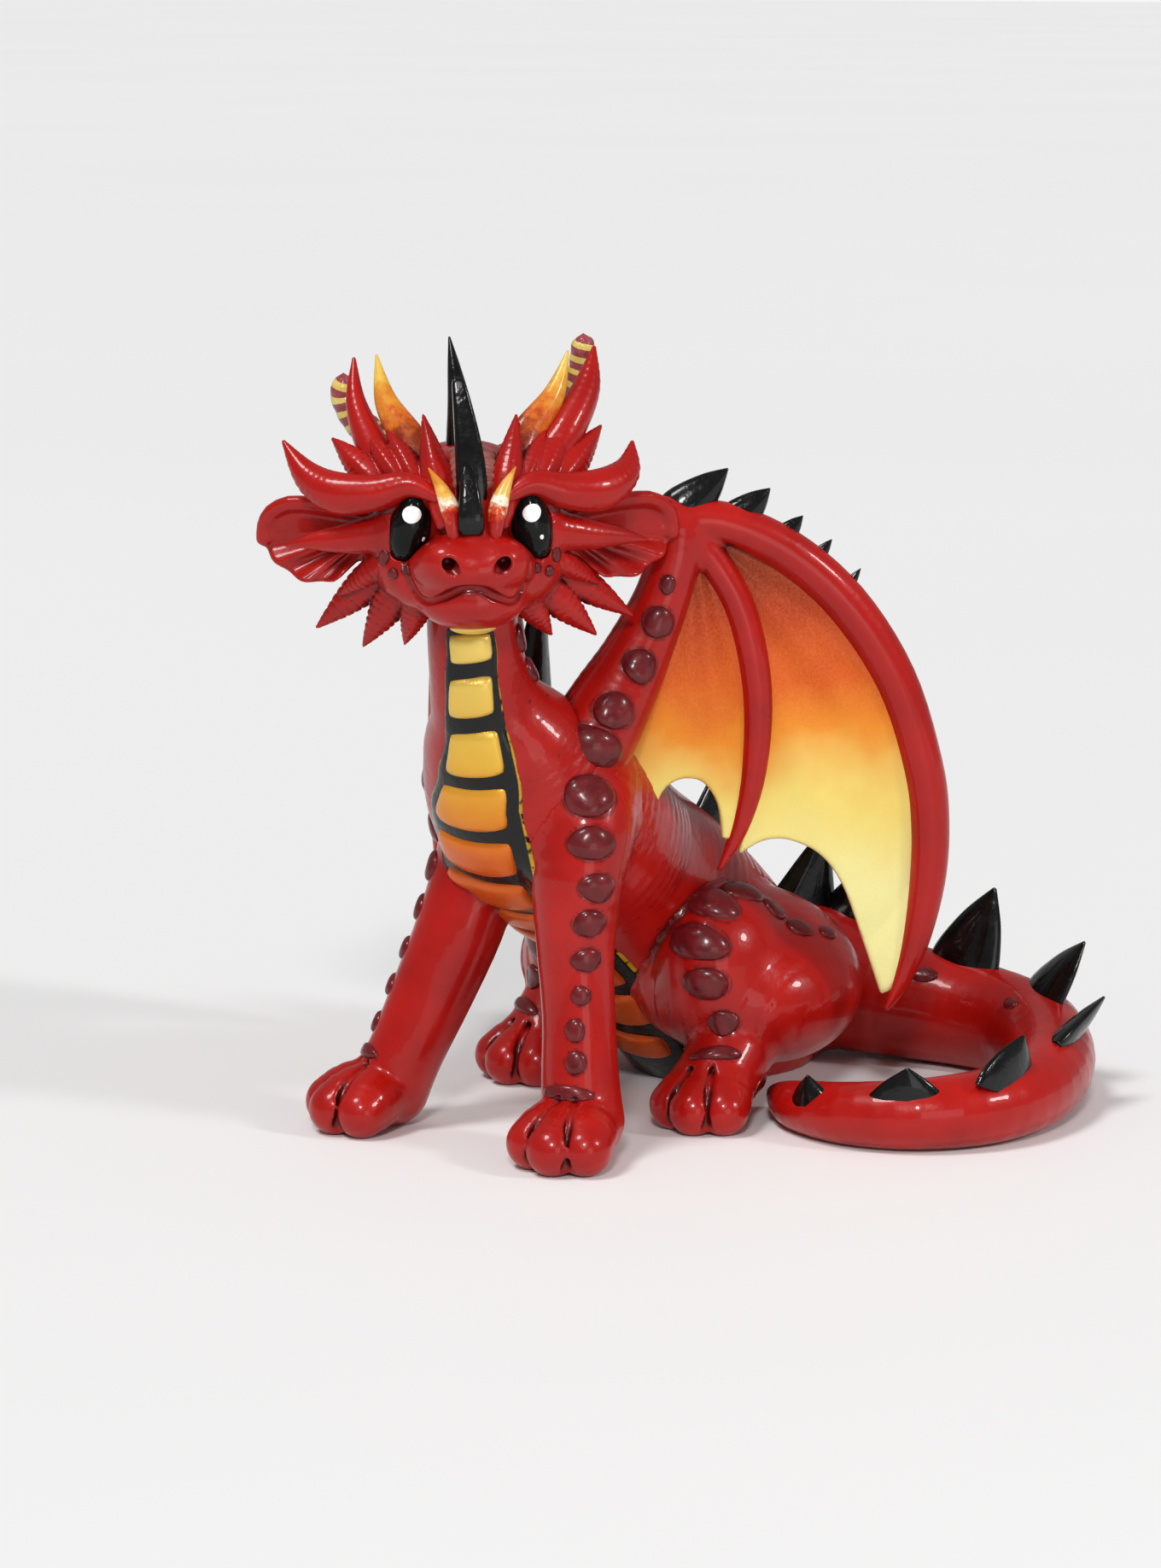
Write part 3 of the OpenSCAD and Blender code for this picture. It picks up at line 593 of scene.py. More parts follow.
def toes(x, y, turn, length, radius):
    """Three fat toes that fan out from a paw's middle."""
    shapes = []
    for i in (-1, 0, 1):
        a = math.radians(turn + i * 29)
        d = np.array([math.sin(a), -math.cos(a)])
        far = length * (1 - 0.1 * abs(i))
        rows = [[x + d[0] * r, y + d[1] * r, z, w] for r, z, w in (
            (0.4, 1.3 * radius, 1.0 * radius), (0.6 * far, 1.16 * radius, 1.12 * radius),
            (far, 0.88 * radius, 0.92 * radius))]
        shapes.append(tube(rows, 3))
    return joined(0.35, *shapes)


def toe_grooves(x, y, turn, length, radius):
    """Thin cuts between the toes, from the paw's front up to its top."""
    cuts = []
    for i in (-0.5, 0.5):
        a = math.radians(turn + i * 29)
        d = np.array([math.sin(a), -math.cos(a)])
        rows = [[x + d[0] * r, y + d[1] * r, z * radius, w] for r, z, w in (
            (0.25 * length, 2.45, 0.1), (0.55 * length, 2.32, 0.28), (0.9 * length, 2.0, 0.36),
            (1.12 * length, 1.3, 0.42), (1.2 * length, 0.4, 0.44), (1.2 * length, -0.4, 0.44))]
        cuts.append(tube(rows, 4))
    return joined(0.1, *cuts)


def carved(shape, cut, blend=0.45):
    return lambda p: -smooth_min(-shape(p), cut(p), blend)


def foreleg(top, out, girth, splay, back):
    """A leg from high on the chest, its shoulder set back, down to a paw that stands further out."""
    d = out - top
    rows = [
        [top - 1.6, -33.4 + back, 39, 4.1], [top, -36.8 + back, 35.4, 5.3],
        [top + 0.4, -39 + back, 29.6, 4.95], [top + 0.2 * d, -39.8 + 0.6 * back, 22, 4.15 * girth],
        [top + 0.48 * d, -40.6 + 0.3 * back, 15, 3.9 * girth],
        [top + 0.74 * d, -41.6, 8.5, 4.15], [out, -42.3, 4.2, 4.4],
    ]
    paw = (out, -42.4, splay, 7, 3.1)
    return above_ground(carved(joined(0.9, tube(rows), toes(*paw)), toe_grooves(*paw)))


left_foreleg = foreleg(8.6, 12, 1, 8, 0)
right_foreleg = mirrored(foreleg(6.6, 13.8, 1.15, 20, 4.8))

THIGH = [
    [4, -6, 15.4, 9, 8], [9, -8.4, 14.4, 13, 9.2], [13, -9.8, 13.4, 13.2, 8.6],
    [16.4, -10.6, 12.2, 10.8, 7.2], [19, -11, 11.4, 6, 4.2],
]


def hind_leg(out):
    """A folded thigh with its foot in front."""
    shin = tube([[out - 1, -15, 9.4, 4.4], [out, -18, 7.4, 4.6], [out, -21.5, 4.6, 4.5]])
    paw = (out, -20.4, 8, 6.8, 2.97)
    foot = carved(joined(1.0, shin, toes(*paw)), toe_grooves(*paw))
    knee = ellipsoid((12, -15.5, 16.5), (7, 8.6, 8.6))
    return above_ground(joined(1.3, strap(THIGH, (0, 0, 1)), knee, foot))


left_hind_leg = hind_leg(15)
RIGHT_HIND_SHIFT = (-2.5, 6.5, 0)
right_hind_leg = mirrored(shifted(hind_leg(15), RIGHT_HIND_SHIFT))

TAIL = [
    [-1, 7, 10, 9], [7, 12.5, 8.8, 8.2], [16, 15, 7, 6.8], [25, 16.5, 6.1, 6.15], [34, 14.5, 5.6, 5.6],
    [41, 7, 5, 5], [44.8, -3, 4.35, 4.36], [44, -12, 4.1, 4.1], [39, -18.5, 3.8, 3.8],
    [32, -21, 3.4, 3.4], [25, -19.5, 2.8, 2.8], [20.5, -15.5, 2, 2], [19.2, -13.5, 1.2, 1.2],
]
tail = above_ground(tube(TAIL))


def nearest_of(*shapes):
    """The field of several shapes together, with no fillet."""
    return lambda p: np.minimum.reduce([shape(p) for shape in shapes])


# The whole body without its head
body = nearest_of(torso, left_foreleg, right_foreleg, left_hind_leg, right_hind_leg, tail)


# ---------- head, in its own frame: +X its left, -Y forward, Z up ----------

HEAD_AT = np.array([-0.5, -45.8, 66.0])
HEAD = turned(42)
# The dragon's left and right, and their sign along X
SIDES = (("left", 1), ("right", -1))


def from_head(p):
    return p @ HEAD.T + HEAD_AT


def neck(p):
    return torso(from_head(p))


EYE_AT = np.array([6.3, -5.3, 1.9])
EYE_TURN = math.radians(22)


def eye_field(side, grow=0.0):
    """An eye: a tall dome that narrows a little towards its top."""
    c, s = math.cos(side * EYE_TURN), math.sin(side * EYE_TURN)
    centre = EYE_AT * np.array([side, 1, 1])

    def field(p):
        q = p - centre
        x, y, z = c * q[:, 0] + s * q[:, 1], -s * q[:, 0] + c * q[:, 1], q[:, 2]
        x = x + side * 0.15 * z
        wide = 1 - 0.045 * z
        r = np.stack([x / (2.05 * wide + grow), y / (2.2 + grow), z / (3.8 + grow)], 1)
        k = np.maximum(np.linalg.norm(r, axis=1), 1e-6)
        return (k - 1) * 2.1
    return field


MOUTH = [[6.3, -1.9], [6.0, -3.6], [4.8, -5.5], [3.0, -5.1], [1.2, -4.2], [0.3, -4.05]]


def landing(field, starts, direction, steps=30):
    """Where rays from outside meet a field's surface."""
    p = np.array(starts, float).reshape(-1, 3)
    d = unit(direction) * np.ones_like(p)
    for _ in range(steps):
        p = p + d * (field(p) * 0.85)[:, None]
    return p


def head_mass():
    """Skull, cheeks, muzzle and jaw, before the mouth and nostrils are cut."""
    shapes = [
        ellipsoid((0, 1.2, 2.6), (8.7, 8.0, 7.4)),
        tube([[0, -2.6, 6.2, 3.8], [0, -5.0, 2.8, 3.3], [0, -6.4, 0.2, 3.2]]),
        ellipsoid((0, -6.6, -2.2), (6.5, 5.1, 3.6)),
        ellipsoid((0, -6.2, -5.7), (5.6, 4.6, 3.3)),
        ellipsoid((0, -0.6, -4.4), (4.9, 5.2, 3.9)),
    ]
    for side in (-1, 1):
        shapes += [
            ellipsoid((side * 2.8, -8.8, -1.4), (2.7, 2.6, 2.3)),
            tube([[side * 6.4, 0, -1.2, 4.4], [side * 5.8, -2.8, -3.0, 3.7], [side * 4.0, -4.4, -4.4, 3.0]]),
            ellipsoid((side * 6.7, -2.9, 1.6), (3.1, 3.4, 4.4)),
        ]
    return joined(0.9, *shapes)


mass = head_mass()


def mouth_line():
    """The line between the lips, on the muzzle's skin."""
    half = smooth_line(MOUTH, 4)
    line = np.concatenate([half, (half * [-1, 1])[::-1][1:]]) - [0.55, 0]
    starts = np.stack([line[:, 0], np.full(len(line), -16.0), line[:, 1]], 1)
    return landing(mass, starts, (0, 1, 0))


def mouth_field():
    spots = mouth_line()
    middle = len(spots) // 2
    radius = 0.5 - 0.2 * (np.abs(np.arange(len(spots)) - middle) / middle) ** 2
    rows = np.concatenate([spots, radius[:, None]], 1)
    return lambda p: nearest(rows, p, rows[:, 3])[0]


def nostril_field(side):
    spot = landing(mass, [[side * 2.6, -16, -1.65]], (0, 1, 0))[0]
    a, b = spot + [side * 0.5, 0.1, 0.45], spot + [side * -0.35, -0.1, -0.4]
    middle = (a + b) / 2
    slit = tube([[*a, 0.52], [*middle, 0.8], [*b, 0.55]], 3)
    return joined(0.4, slit, ellipsoid(middle + [side * 0.2, 1.2, 0.3], (0.7, 1.0, 0.7)))


def head_field():
    cuts = [mouth_field(), nostril_field(-1), nostril_field(1)]
    eyes = [eye_field(-1, 0.1), eye_field(1, 0.1)]

    def field(p):
        solid = mass(p)
        for cut in cuts:
            solid = -smooth_min(-solid, cut(p), 0.22)
        for eye in eyes:
            solid = np.maximum(solid, -eye(p))
        return solid
    return field


head = head_field()


# ---------- pieces: the body ----------

def low_high(node, margin):
    """The box of a CAD node in mm, with a margin."""
    low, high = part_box(node)
    return np.array(low) / MM - margin, np.array(high) / MM + margin


def scale_mesh(field, centre, out, a, b, turn, relief, seed=0):
    """A domed oval scale laid on a field's surface. Returns its points, faces and rim."""
    out = unit(out)
    spot = landing(field, [np.array(centre, float) + out * 4], -out)[0]
    _, slope = gradient(field, spot[None])
    out = unit(slope)[0]
    level = unit(np.cross([0, 0, 1.0], out))
    up = np.cross(out, level)
    t = math.radians(turn)
    side, tall = level * math.cos(t) + up * math.sin(t), up * math.cos(t) - level * math.sin(t)
    rings = np.array([0.001, 0.25, 0.45, 0.62, 0.76, 0.87, 0.94, 0.985, 1.0, 1.02])
    count = 30
    angle = np.arange(count) / count * 2 * math.pi
    wobble = 1 + 0.035 * np.sin(2 * angle + seed * 1.7) + 0.025 * np.sin(3 * angle + seed * 2.9)
    r = rings[:, None, None] * wobble[None, :, None]
    flat = spot + a * r * np.cos(angle)[None, :, None] * side + b * r * np.sin(angle)[None, :, None] * tall
    base = landing(field, flat.reshape(-1, 3) + out * 2.0, -out, 16).reshape(flat.shape)
    lift = relief * np.sqrt(np.clip(1 - rings ** 3.2, 0, 1)) + 0.02
    lift[-1] = -0.35
    verts = list(base + out * lift[:, None, None])
    verts.append(np.array([verts[0].mean(0), spot - out * 0.5]))
    faces = [face[::-1] for face in tube_faces(len(rings), count)]
    return np.concatenate(verts), faces, (spot, out, side, tall, a, b)


def scale_piece(node, specs, field):
    """All the scales of one CAD node. Each spec: centre, way out, half sizes, turn. Returns their rims."""
    laid = [
        scale_mesh(field, centre, out, a, b, turn, 0.28 * min(a, b) + 0.18, i)
        for i, (centre, out, a, b, turn) in enumerate(specs)]
    make_piece(node + "_laid", *merged(laid), [node], "maroon_scale", MAROON)
    return [rim for _, _, rim in laid]


def facing(out, rows):
    """Scale specs that all face one way, from rows of x, y, z, half sizes and turn."""
    return [((x, y, z), out, a, b, turn) for x, y, z, a, b, turn in rows]


def flip_x(spec):
    centre, out, a, b, turn = spec
    return ([-centre[0], *centre[1:]], [-out[0], *out[1:]], a, b, -turn)


# The fillet between the forelegs and the chest
LEG_BLEND = 1.4


def build_body():
    """The sculpted body pieces and the scales that lie on them."""
    rims = {}
    specs = facing((0.85, 0.5, 0.1), [(4.5, -42.6, 55.4, 1.3, 1.6, 0), (4.7, -41.2, 51.8, 1.2, 1.5, 0)])
    rims["torso"] = scale_piece("neck_scales", specs + [flip_x(s) for s in specs], torso)
    specs = facing((0.72, -0.69, 0.1), [
        (11.2, -39.9, 38.8, 2.8, 2.4, -8), (12.6, -41.5, 34.1, 2.5, 1.9, -4),
        (13.3, -41.4, 29.4, 2.1, 1.6, 0), (12.8, -42.1, 25.6, 1.9, 1.45, 0),
        (12.6, -42.4, 21.7, 1.65, 1.3, 0), (12.4, -43.2, 18, 1.05, 1.1, 0),
        (12.3, -44.2, 14.4, 1.1, 1.25, 0), (12.8, -44.8, 11.1, 1.2, 1.3, 0)])
    specs += facing((0.5, -0.8, 0.5), [(12.2, -45.9, 8, 2.9, 0.85, 0)])
    rooted = joined(LEG_BLEND, torso, left_foreleg)
    rims["foreleg_left"] = scale_piece("foreleg_scales_left", specs, rooted)
    specs = facing((-0.86, -0.5, 0.1), [
        (-7.2, -34.4, 37.4, 2.6, 2.4, 0), (-8.2, -35.6, 32.4, 2.3, 1.9, 0), (-8.6, -36, 28.0, 2.0, 1.7, 0),
        (-9.4, -37, 23.4, 1.8, 1.5, 0), (-10.4, -38.2, 19.0, 1.7, 1.4, 0), (-11.4, -39.6, 15, 1.6, 1.3, 0),
        (-12.4, -41, 11, 1.5, 1.2, 0)])
    specs += facing((-0.7, -0.6, 0.5), [(-13.2, -43.6, 7.4, 2.2, 0.8, 0)])
    rooted = joined(LEG_BLEND, torso, right_foreleg)
    rims["foreleg_right"] = scale_piece("foreleg_scales_right", specs, rooted)
    specs = [
        ((12.8, -19.3, 24.2), (0.5, -0.5, 1), 3.6, 2.2, -24),
        ((14.2, -14.9, 24.7), (0.5, -0.4, 1), 2.7, 1.8, -42),
        ((17.3, -12.2, 23.6), (0.8, -0.4, 1), 1.8, 1.4, -42),
        ((20.4, -10.6, 21.8), (0.9, -0.3, 0.8), 1.7, 1.2, -40),
        ((21.4, -6.6, 20), (1, -0.3, 0.6), 1.3, 1.0, -20),
        ((13.6, -22.9, 20.3), (0.57, -0.8, 0.3), 3.4, 2.1, -8),
        ((15, -23.3, 15.8), (0.57, -0.8, 0), 2.6, 1.8, -4),
        ((16.3, -21.7, 11.4), (0.57, -0.8, 0), 1.75, 1.35, 0),
        ((16.4, -23.4, 8.3), (0.5, -0.8, 0.5), 2.8, 0.9, 4)]
    rims["hind_leg_left"] = scale_piece("hind_scales_left", specs, left_hind_leg)
    x, y, z = RIGHT_HIND_SHIFT
    specs = [flip_x(([c[0] + x, c[1] + y, c[2] + z], *rest)) for c, *rest in specs]
    rims["hind_leg_right"] = scale_piece("hind_scales_right", specs, right_hind_leg)
    specs = facing((0.2, -0.8, 0.9), [(12, 8.4, 12, 1.6, 1.0, 0), (22, 11, 12, 1.5, 1.0, 0)])
    specs += facing((0, -0.8, 0.9), [(34, 10, 10, 1.2, 0.8, 0)])
    rims["tail"] = scale_piece("tail_scales", specs, tail)

    sculpted_piece("torso_sculpt", torso, low_high("torso", 1), 0.4, body, ["torso"], rims["torso"])
    for node, shape, blend, root, voxel in (
            ("foreleg_left", left_foreleg, LEG_BLEND, torso, 0.34),
            ("foreleg_right", right_foreleg, LEG_BLEND, torso, 0.34),
            ("hind_leg_left", left_hind_leg, 1.2, torso, 0.4),
            ("hind_leg_right", right_hind_leg, 1.2, torso, 0.4),
            ("tail", tail, 2.5, nearest_of(torso, left_hind_leg, right_hind_leg), 0.4)):
        field = above_ground(grown_from(shape, root, blend))
        sculpted_piece(node + "_sculpt", field, low_high(node, 3), voxel, body, [node], rims[node])


build_body()


# ---------- pieces: the head ----------

BELOW_HEAD = nearest_of(head, neck)


def head_piece(node, side, shape, low, high, voxel, blend=1.0):
    """A red piece of the head, grown out of it. Its box is given for the dragon's left."""
    if side < 0:
        low, high = [-high[0], *low[1:]], [-low[0], *high[1:]]
    field, around = grown_from(shape, BELOW_HEAD, blend), nearest_of(BELOW_HEAD, shape)
    sculpted_piece(node + "_sculpt", field, (low, high), voxel, around, [node], place=from_head)


def blade(base, tip, width, thickness, bow=(0, 0, 0)):
    """A leaf-shaped spike with a ridge down its middle."""
    base, tip, bow = (np.array(v, float) for v in (base, tip, bow))
    rows = []
    for t, w, d in (
            (-0.12, 0.34, 0.42), (0.12, 0.46, 0.5), (0.38, 0.5, 0.48), (0.68, 0.32, 0.32),
            (0.97, 0.05, 0.08)):
        rows.append([*(base + (tip - base) * t + bow * 4 * t * (1 - t)), w * width, d * thickness])
    return strap(rows, (0, 1, 0), 4, 1.45)


def sided(side, rows):
    """Rows that start with an x, given for the dragon's left, or mirrored to its right."""
    return [[side * x, *rest] for x, *rest in rows]


def fan(side, blades, thickness):
    """A joined row of blades."""
    shapes = [blade(*sided(side, (base, tip)), width, thickness, (0, -0.5, 0)) for base, tip, width in blades]
    return joined(0.12, *shapes)


CREST = {
    "left": [
        ((3.0, -7.0, 3.4), (5.2, -1.5, 13.1), 3.3), ((5.0, -5.2, 5.2), (8.6, 0, 11.8), 3.0),
        ((6.8, -4.6, 5.6), (11, 1, 12.2), 3.6), ((8.6, -3.6, 5.2), (14.6, 2, 11.4), 3.8)],
    "right": [
        ((3.0, -7.0, 3.4), (4.6, -1.5, 13.2), 3.3), ((5.0, -5.2, 5.2), (8.3, 0, 11.7), 3.4),
        ((6.6, -4.6, 5.6), (10.6, 1, 11.4), 3.0), ((8.4, -3.6, 5.0), (13.9, 2, 10.4), 3.8)],
}
FRILL = {
    "left": [
        ((7.2, -0.6, -1.8), (18.1, 2, -9.1), 4.2), ((6.2, -1.6, -3.4), (14, 1, -10.9), 4.2),
        ((4.8, -2.6, -4.6), (9, -0.6, -10.6), 3.6), ((7.6, -2.6, -1.2), (14, -0.6, -5.2), 2.8)],
    "right": [
        ((7.2, -0.6, -1.8), (15.8, 2, -9.8), 4.2), ((6.2, -1.6, -3.4), (10.9, 1, -11.7), 4.2),
        ((4.8, -2.6, -4.6), (6.6, -0.6, -11.3), 3.6), ((7.6, -2.6, -1.2), (13.4, -0.4, -6), 2.8)],
}
BROW_TIP = {"left": (17.6, 0, 9.8), "right": (19, 0, 10.3)}
RED_HORN = {
    "left": [
        [7.2, -1.4, 5.2, 2.3], [8.4, -0.6, 7.8, 2.3], [10.6, 0.6, 11, 2.05], [13, 3, 15, 1.5],
        [14.1, 5, 19.1, 0.25]],
    "right": [
        [7.2, -1.4, 4.6, 2.2], [8.2, -0.6, 7, 2.1], [9.9, 0.8, 10, 1.7], [11.2, 3, 14, 1.05],
        [11.2, 5, 18.3, 0.2]],
}


def ear_field(side):
    """A cupped ear: a thin sheet with a folded upper rim and a ribbed lower half. The right one is shorter."""
    short = 1 if side > 0 else 0.92
    top = smooth_line([
        [6.4, 2.2], [10, 2.8], [13, 3.3], [16.5, 3.8], [19.4, 3.9], [21.4, 2.9], [22.2, 1.4], [22.3, 0]], 3)
    low = smooth_line([
        [22.3, 0], [21.9, -1.4], [20.9, -2.8], [18.9, -4.1], [16.8, -4.7], [14.6, -4.4], [12.4, -3],
        [10.4, -2], [6.4, -1.2]], 3)
    outline = np.concatenate([top, low[1:]])

    def depth(x, z):
        angle = np.arctan2(z - 1.4, x - 8.5)
        lower = np.clip((0.6 - z) / 1.5, 0, 1) * np.clip((x - 11) / 3, 0, 1)
        ribs = 0.36 * np.sin(angle * 26) * lower
        return -1.6 + 0.25 * (x - 8) + 1.6 * (1 - (z / 4.4) ** 2) + ribs

    def sheet(p):
        x, y, z = side * p[:, 0], p[:, 1], p[:, 2]
        x = 6.4 + (x - 6.4) / short
        edge = polygon_distance(np.stack([x, z], 1), outline)
        wavy = edge + 0.12 * np.sin(np.arctan2(z - 1.4, x - 8.5) * 26) * np.clip(-z / 2, 0, 1)
        thick = 0.5 + 0.6 * np.clip((12 - x) / 5, 0, 1)
        return -smooth_min(-wavy, -(np.abs(y - depth(x, z)) * 0.8 - thick), 0.5)
    rows = sided(side, [
        [6.4 + (x - 6.4) * short, float(depth(np.array(x), np.array(z))) - 0.2, z - 0.3, 0.72]
        for x, z in top[::3]])
    return boxed(
        joined(0.8, sheet, tube(rows, 2)), np.array([min(side * 6, side * 23.2), -4, -5.6]),
        np.array([max(side * 6, side * 23.2), 4.5, 5]))


def build_head():
    """The head, and its horns, crests, frills and ears, each grown out of the head's own field."""
    box = ((-12, -14, -11), (12, 11, 12))
    field = grown_from(head, neck, 1.2)
    sculpted_piece("head_sculpt", field, box, 0.24, BELOW_HEAD, ["head"], place=from_head)
    for name, side in SIDES:
        tip = BROW_TIP[name]
        horn = strap(sided(side, [
            [3.6, -7.0, 5.0, 0.8, 0.9], [6.4, -6.2, 6.2, 1.3, 1.15], [10, -5.2, 5.3, 1.9, 1.7],
            [13.8, -3.8, 5.2, 2.2, 1.9], [16.6, -2, 6.8, 1.55, 1.3],
            [tip[0] - 0.1, tip[1], tip[2] - 0.2, 0.25, 0.25]]), (0, 1, 0), 5, 1.9)
        head_piece(f"brow_horn_{name}", side, horn, (1.5, -10, 1), (21, 3, 12), 0.22, 1.2)
        crest = fan(side, CREST[name], 2.5)
        head_piece(f"crest_{name}", side, crest, (-1, -11, 0), (17, 6, 15), 0.2, 0.4)
        frill = fan(side, FRILL[name], 2.9)
        head_piece(f"cheek_frill_{name}", side, frill, (1, -8, -14), (20, 5, 2), 0.2, 0.5)
        horn = tube(sided(side, RED_HORN[name]), 6)
        head_piece(f"red_horn_{name}", side, horn, (3, -6, 1), (17, 8, 21), 0.24, 1.2)
        head_piece(f"ear_{name}", side, ear_field(side), (4, -7, -7), (24, 6, 7), 0.2)
        spine = strap(sided(side, [
            [7.4, -3.6, 1.0, 2.0, 1.9], [10, -3.3, 0.8, 1.95, 1.7], [13, -2.6, 0.3, 1.55, 1.3],
            [16, -1.8, 0, 0.95, 0.8], [18.9, -1.0, -0.5, 0.2, 0.2]]), (0, 1, 0), 4, 1.8)
        head_piece(f"ear_spine_{name}", side, spine, (4, -7, -3), (21, 1, 5), 0.22)


def head_sweep(node, parts, slot, material):
    """Swept parts in the head's frame."""
    verts, faces, marks = gathered(parts)
    make_piece(node + "_swept", from_head(verts), faces, [node], slot, material, marks)


def diamond(power):
    """A ring section: under 2 for ridges, over 2 for flat faces."""
    def section(angle, along):
        return (np.abs(np.cos(angle)) ** power + np.abs(np.sin(angle)) ** power) ** (-1 / power)
    return section


def build_eye(name, side):
    """An eye and the two white dots on it."""
    at = EYE_AT * [side, 1, 1]
    verts, quads = sculpt(eye_field(side), at - 4.2, at + 4.2, 0.2)
    quads = facing_out(verts, quads)
    make_piece(f"eye_{name}_dome", from_head(verts), quads, [f"eye_{name}"], "eye_black", EYE)
    out, x = (side * 0.25 + 0.05, -1, 0.2), side * 6.1
    dots = [
        scale_mesh(eye_field(side), spot, out, a, b, side * 20, 0.05)
        for spot, a, b in (((x - 0.1, -7, 3.2), 0.98, 0.92), ((x + 1.0, -7, 0.7), 0.22, 0.26))]
    verts, faces = merged(dots)
    make_piece(f"catchlight_{name}_dot", from_head(verts), faces, [f"catchlight_{name}"], "eye_white", WHITE)


def build_painted_horns(name, side):
    """The flame horn, the striped horn and the brow flame of one side. The right horns are shorter."""
    left = side > 0
    rise = (11, 14.6, 19) if left else (10.6, 14.2, 18.8)
    out = (6.6, 9.4, 11.1) if left else (6.2, 8.2, 9)
    far, top = (13.2, 20.4) if left else (12.2, 16.5)
    horn = swept(sided(side, [
        [4.2, -3.4, 6.4, 2.3, 1.2], [5.2, -2.4, 8.4, 2.15, 1.1], [out[0], -1, rise[0], 1.85, 1.0],
        [out[1], 1, rise[1], 1.2, 0.8], [out[2], 3, rise[2], 0.12, 0.12]]), (0, 1, 0), 24, 10, diamond(1.7))
    head_sweep(f"flame_horn_{name}", [horn], "flame_horn", FLAME)
    horn = swept(sided(side, [
        [4, 3, 7.5, 1.5, 1.5], [8, 5.6, 9.4, 1.6, 1.6], [far - 1.6, 6.8, 11.4, 1.55, 1.55],
        [far - 0.2, 7.2, (11.4 + top) / 2, 1.45, 1.45], [far, 7, top - 1.2, 1.2, 1.2],
        [far, 6.9, top - 0.4, 0.75, 0.75]]), (0, 1, 0), 28, 14, stripes=12 if left else 9)
    head_sweep(f"striped_horn_{name}", [horn], "striped_horn", STRIPED)
    flame = swept(sided(side, [
        [2.2, -9.1, 0.7, 0.5, 0.4], [2.2, -9.1, 2.0, 0.8, 0.6], [2.5, -8.7, 4.0, 1.0, 0.75],
        [3.3, -7.8, 6.0, 0.68, 0.55], [4.5, -6.9, 8.0, 0.08, 0.08]]), (0, 1, 0), 20, 8, diamond(1.5))
    head_sweep(f"brow_flame_{name}", [flame], "brow_flame", BROW_FLAME)


def build_cheek_scales(name, side):
    specs = (
        ((8.9, -4.6, -1.4), (0.8, -0.6, 0), 0.75, 0.85), ((8, -5.6, -3), (0.8, -0.6, 0), 0.6, 0.65),
        ((6.9, -7, -2.5), (0.6, -0.8, 0), 0.55, 0.6))
    laid = [
        scale_mesh(head, *sided(side, (at, out)), a, b, 0, 0.4, i)
        for i, (at, out, a, b) in enumerate(specs)]
    verts, faces = merged(laid)
    node = f"cheek_scales_{name}"
    make_piece(node + "_laid", from_head(verts), faces, [node], "maroon_scale", MAROON)


def build_head_spikes():
    """The three black spikes in a row, from crown to brow. The lower two are flat-sided with blunt tips."""
    rear = [
        [-0.3, -1.5, 5, 2.0, 1.6], [-0.3, -0.6, 9, 1.85, 1.6], [-0.5, 1.0, 13.5, 1.3, 1.2],
        [-0.9, 2.8, 17.4, 0.7, 0.7], [-1.25, 4.3, 20.45, 0.12, 0.12]]
    middle = [
        [-0.1, -6.4, 3.4, 1.6, 1.1], [-0.05, -6.4, 6.5, 1.6, 1.1], [-0.3, -6.0, 10, 1.4, 1.0],
        [-0.8, -5.3, 14, 1.0, 0.8], [-1.15, -4.8, 16.3, 0.7, 0.55], [-1.2, -4.7, 16.9, 0.5, 0.35]]
    front = [
        [-0.4, -8.9, 1.6, 1.3, 0.9], [-0.4, -9.2, 3.0, 1.35, 1.0], [-0.45, -8.9, 5.0, 1.15, 0.85],
        [-0.55, -8.3, 7.0, 0.8, 0.6], [-0.6, -7.9, 8.2, 0.4, 0.3]]
    spikes = [
        swept(rows, (0, 1, 0), sides, 8, diamond(power))
        for rows, sides, power in ((rear, 24, 1.8), (middle, 32, 6), (front, 32, 5))]
    head_sweep("head_spikes", spikes, "black_spike", BLACK)


def build_crown_patch():
    """A strip of six ridges, laid down the back of the skull."""
    rows, columns, ridges, half_width = 46, 18, 6, 2.5
    way = np.array([0, 0.86, -0.5])
    edges = np.array([0.35 if j in (0, columns - 1) else 0.0 for j in range(columns)])
    verts = []
    for i in range(rows):
        t = i / (rows - 1)
        lift = 0.12 + 0.3 * abs(math.sin(t * math.pi * ridges))
        starts = [[0.4 + half_width * (2 * j / (columns - 1) - 1), -12, 9 + t * 6] for j in range(columns)]
        verts.append(landing(mass, starts, way) - way * (lift - edges)[:, None])
    verts = np.concatenate(verts)
    verts = from_head(np.concatenate([verts, verts + np.array([0, 0.6, -0.6])]))
    make_piece("crown_patch_ridges", verts, slab_faces(rows, columns), ["crown_patch"], "crown_pink", CROWN)


def build_chin_plate():
    verts, faces, _ = scale_mesh(mass, (0, -6.4, -8.1), (0, -0.55, -1), 2.4, 1.7, 0, 0.35)
    marks = {"edge": np.zeros(len(verts))}
    make_piece("chin_plate_laid", from_head(verts), faces, ["chin_plate"], "orange_plate", PLATE, marks)


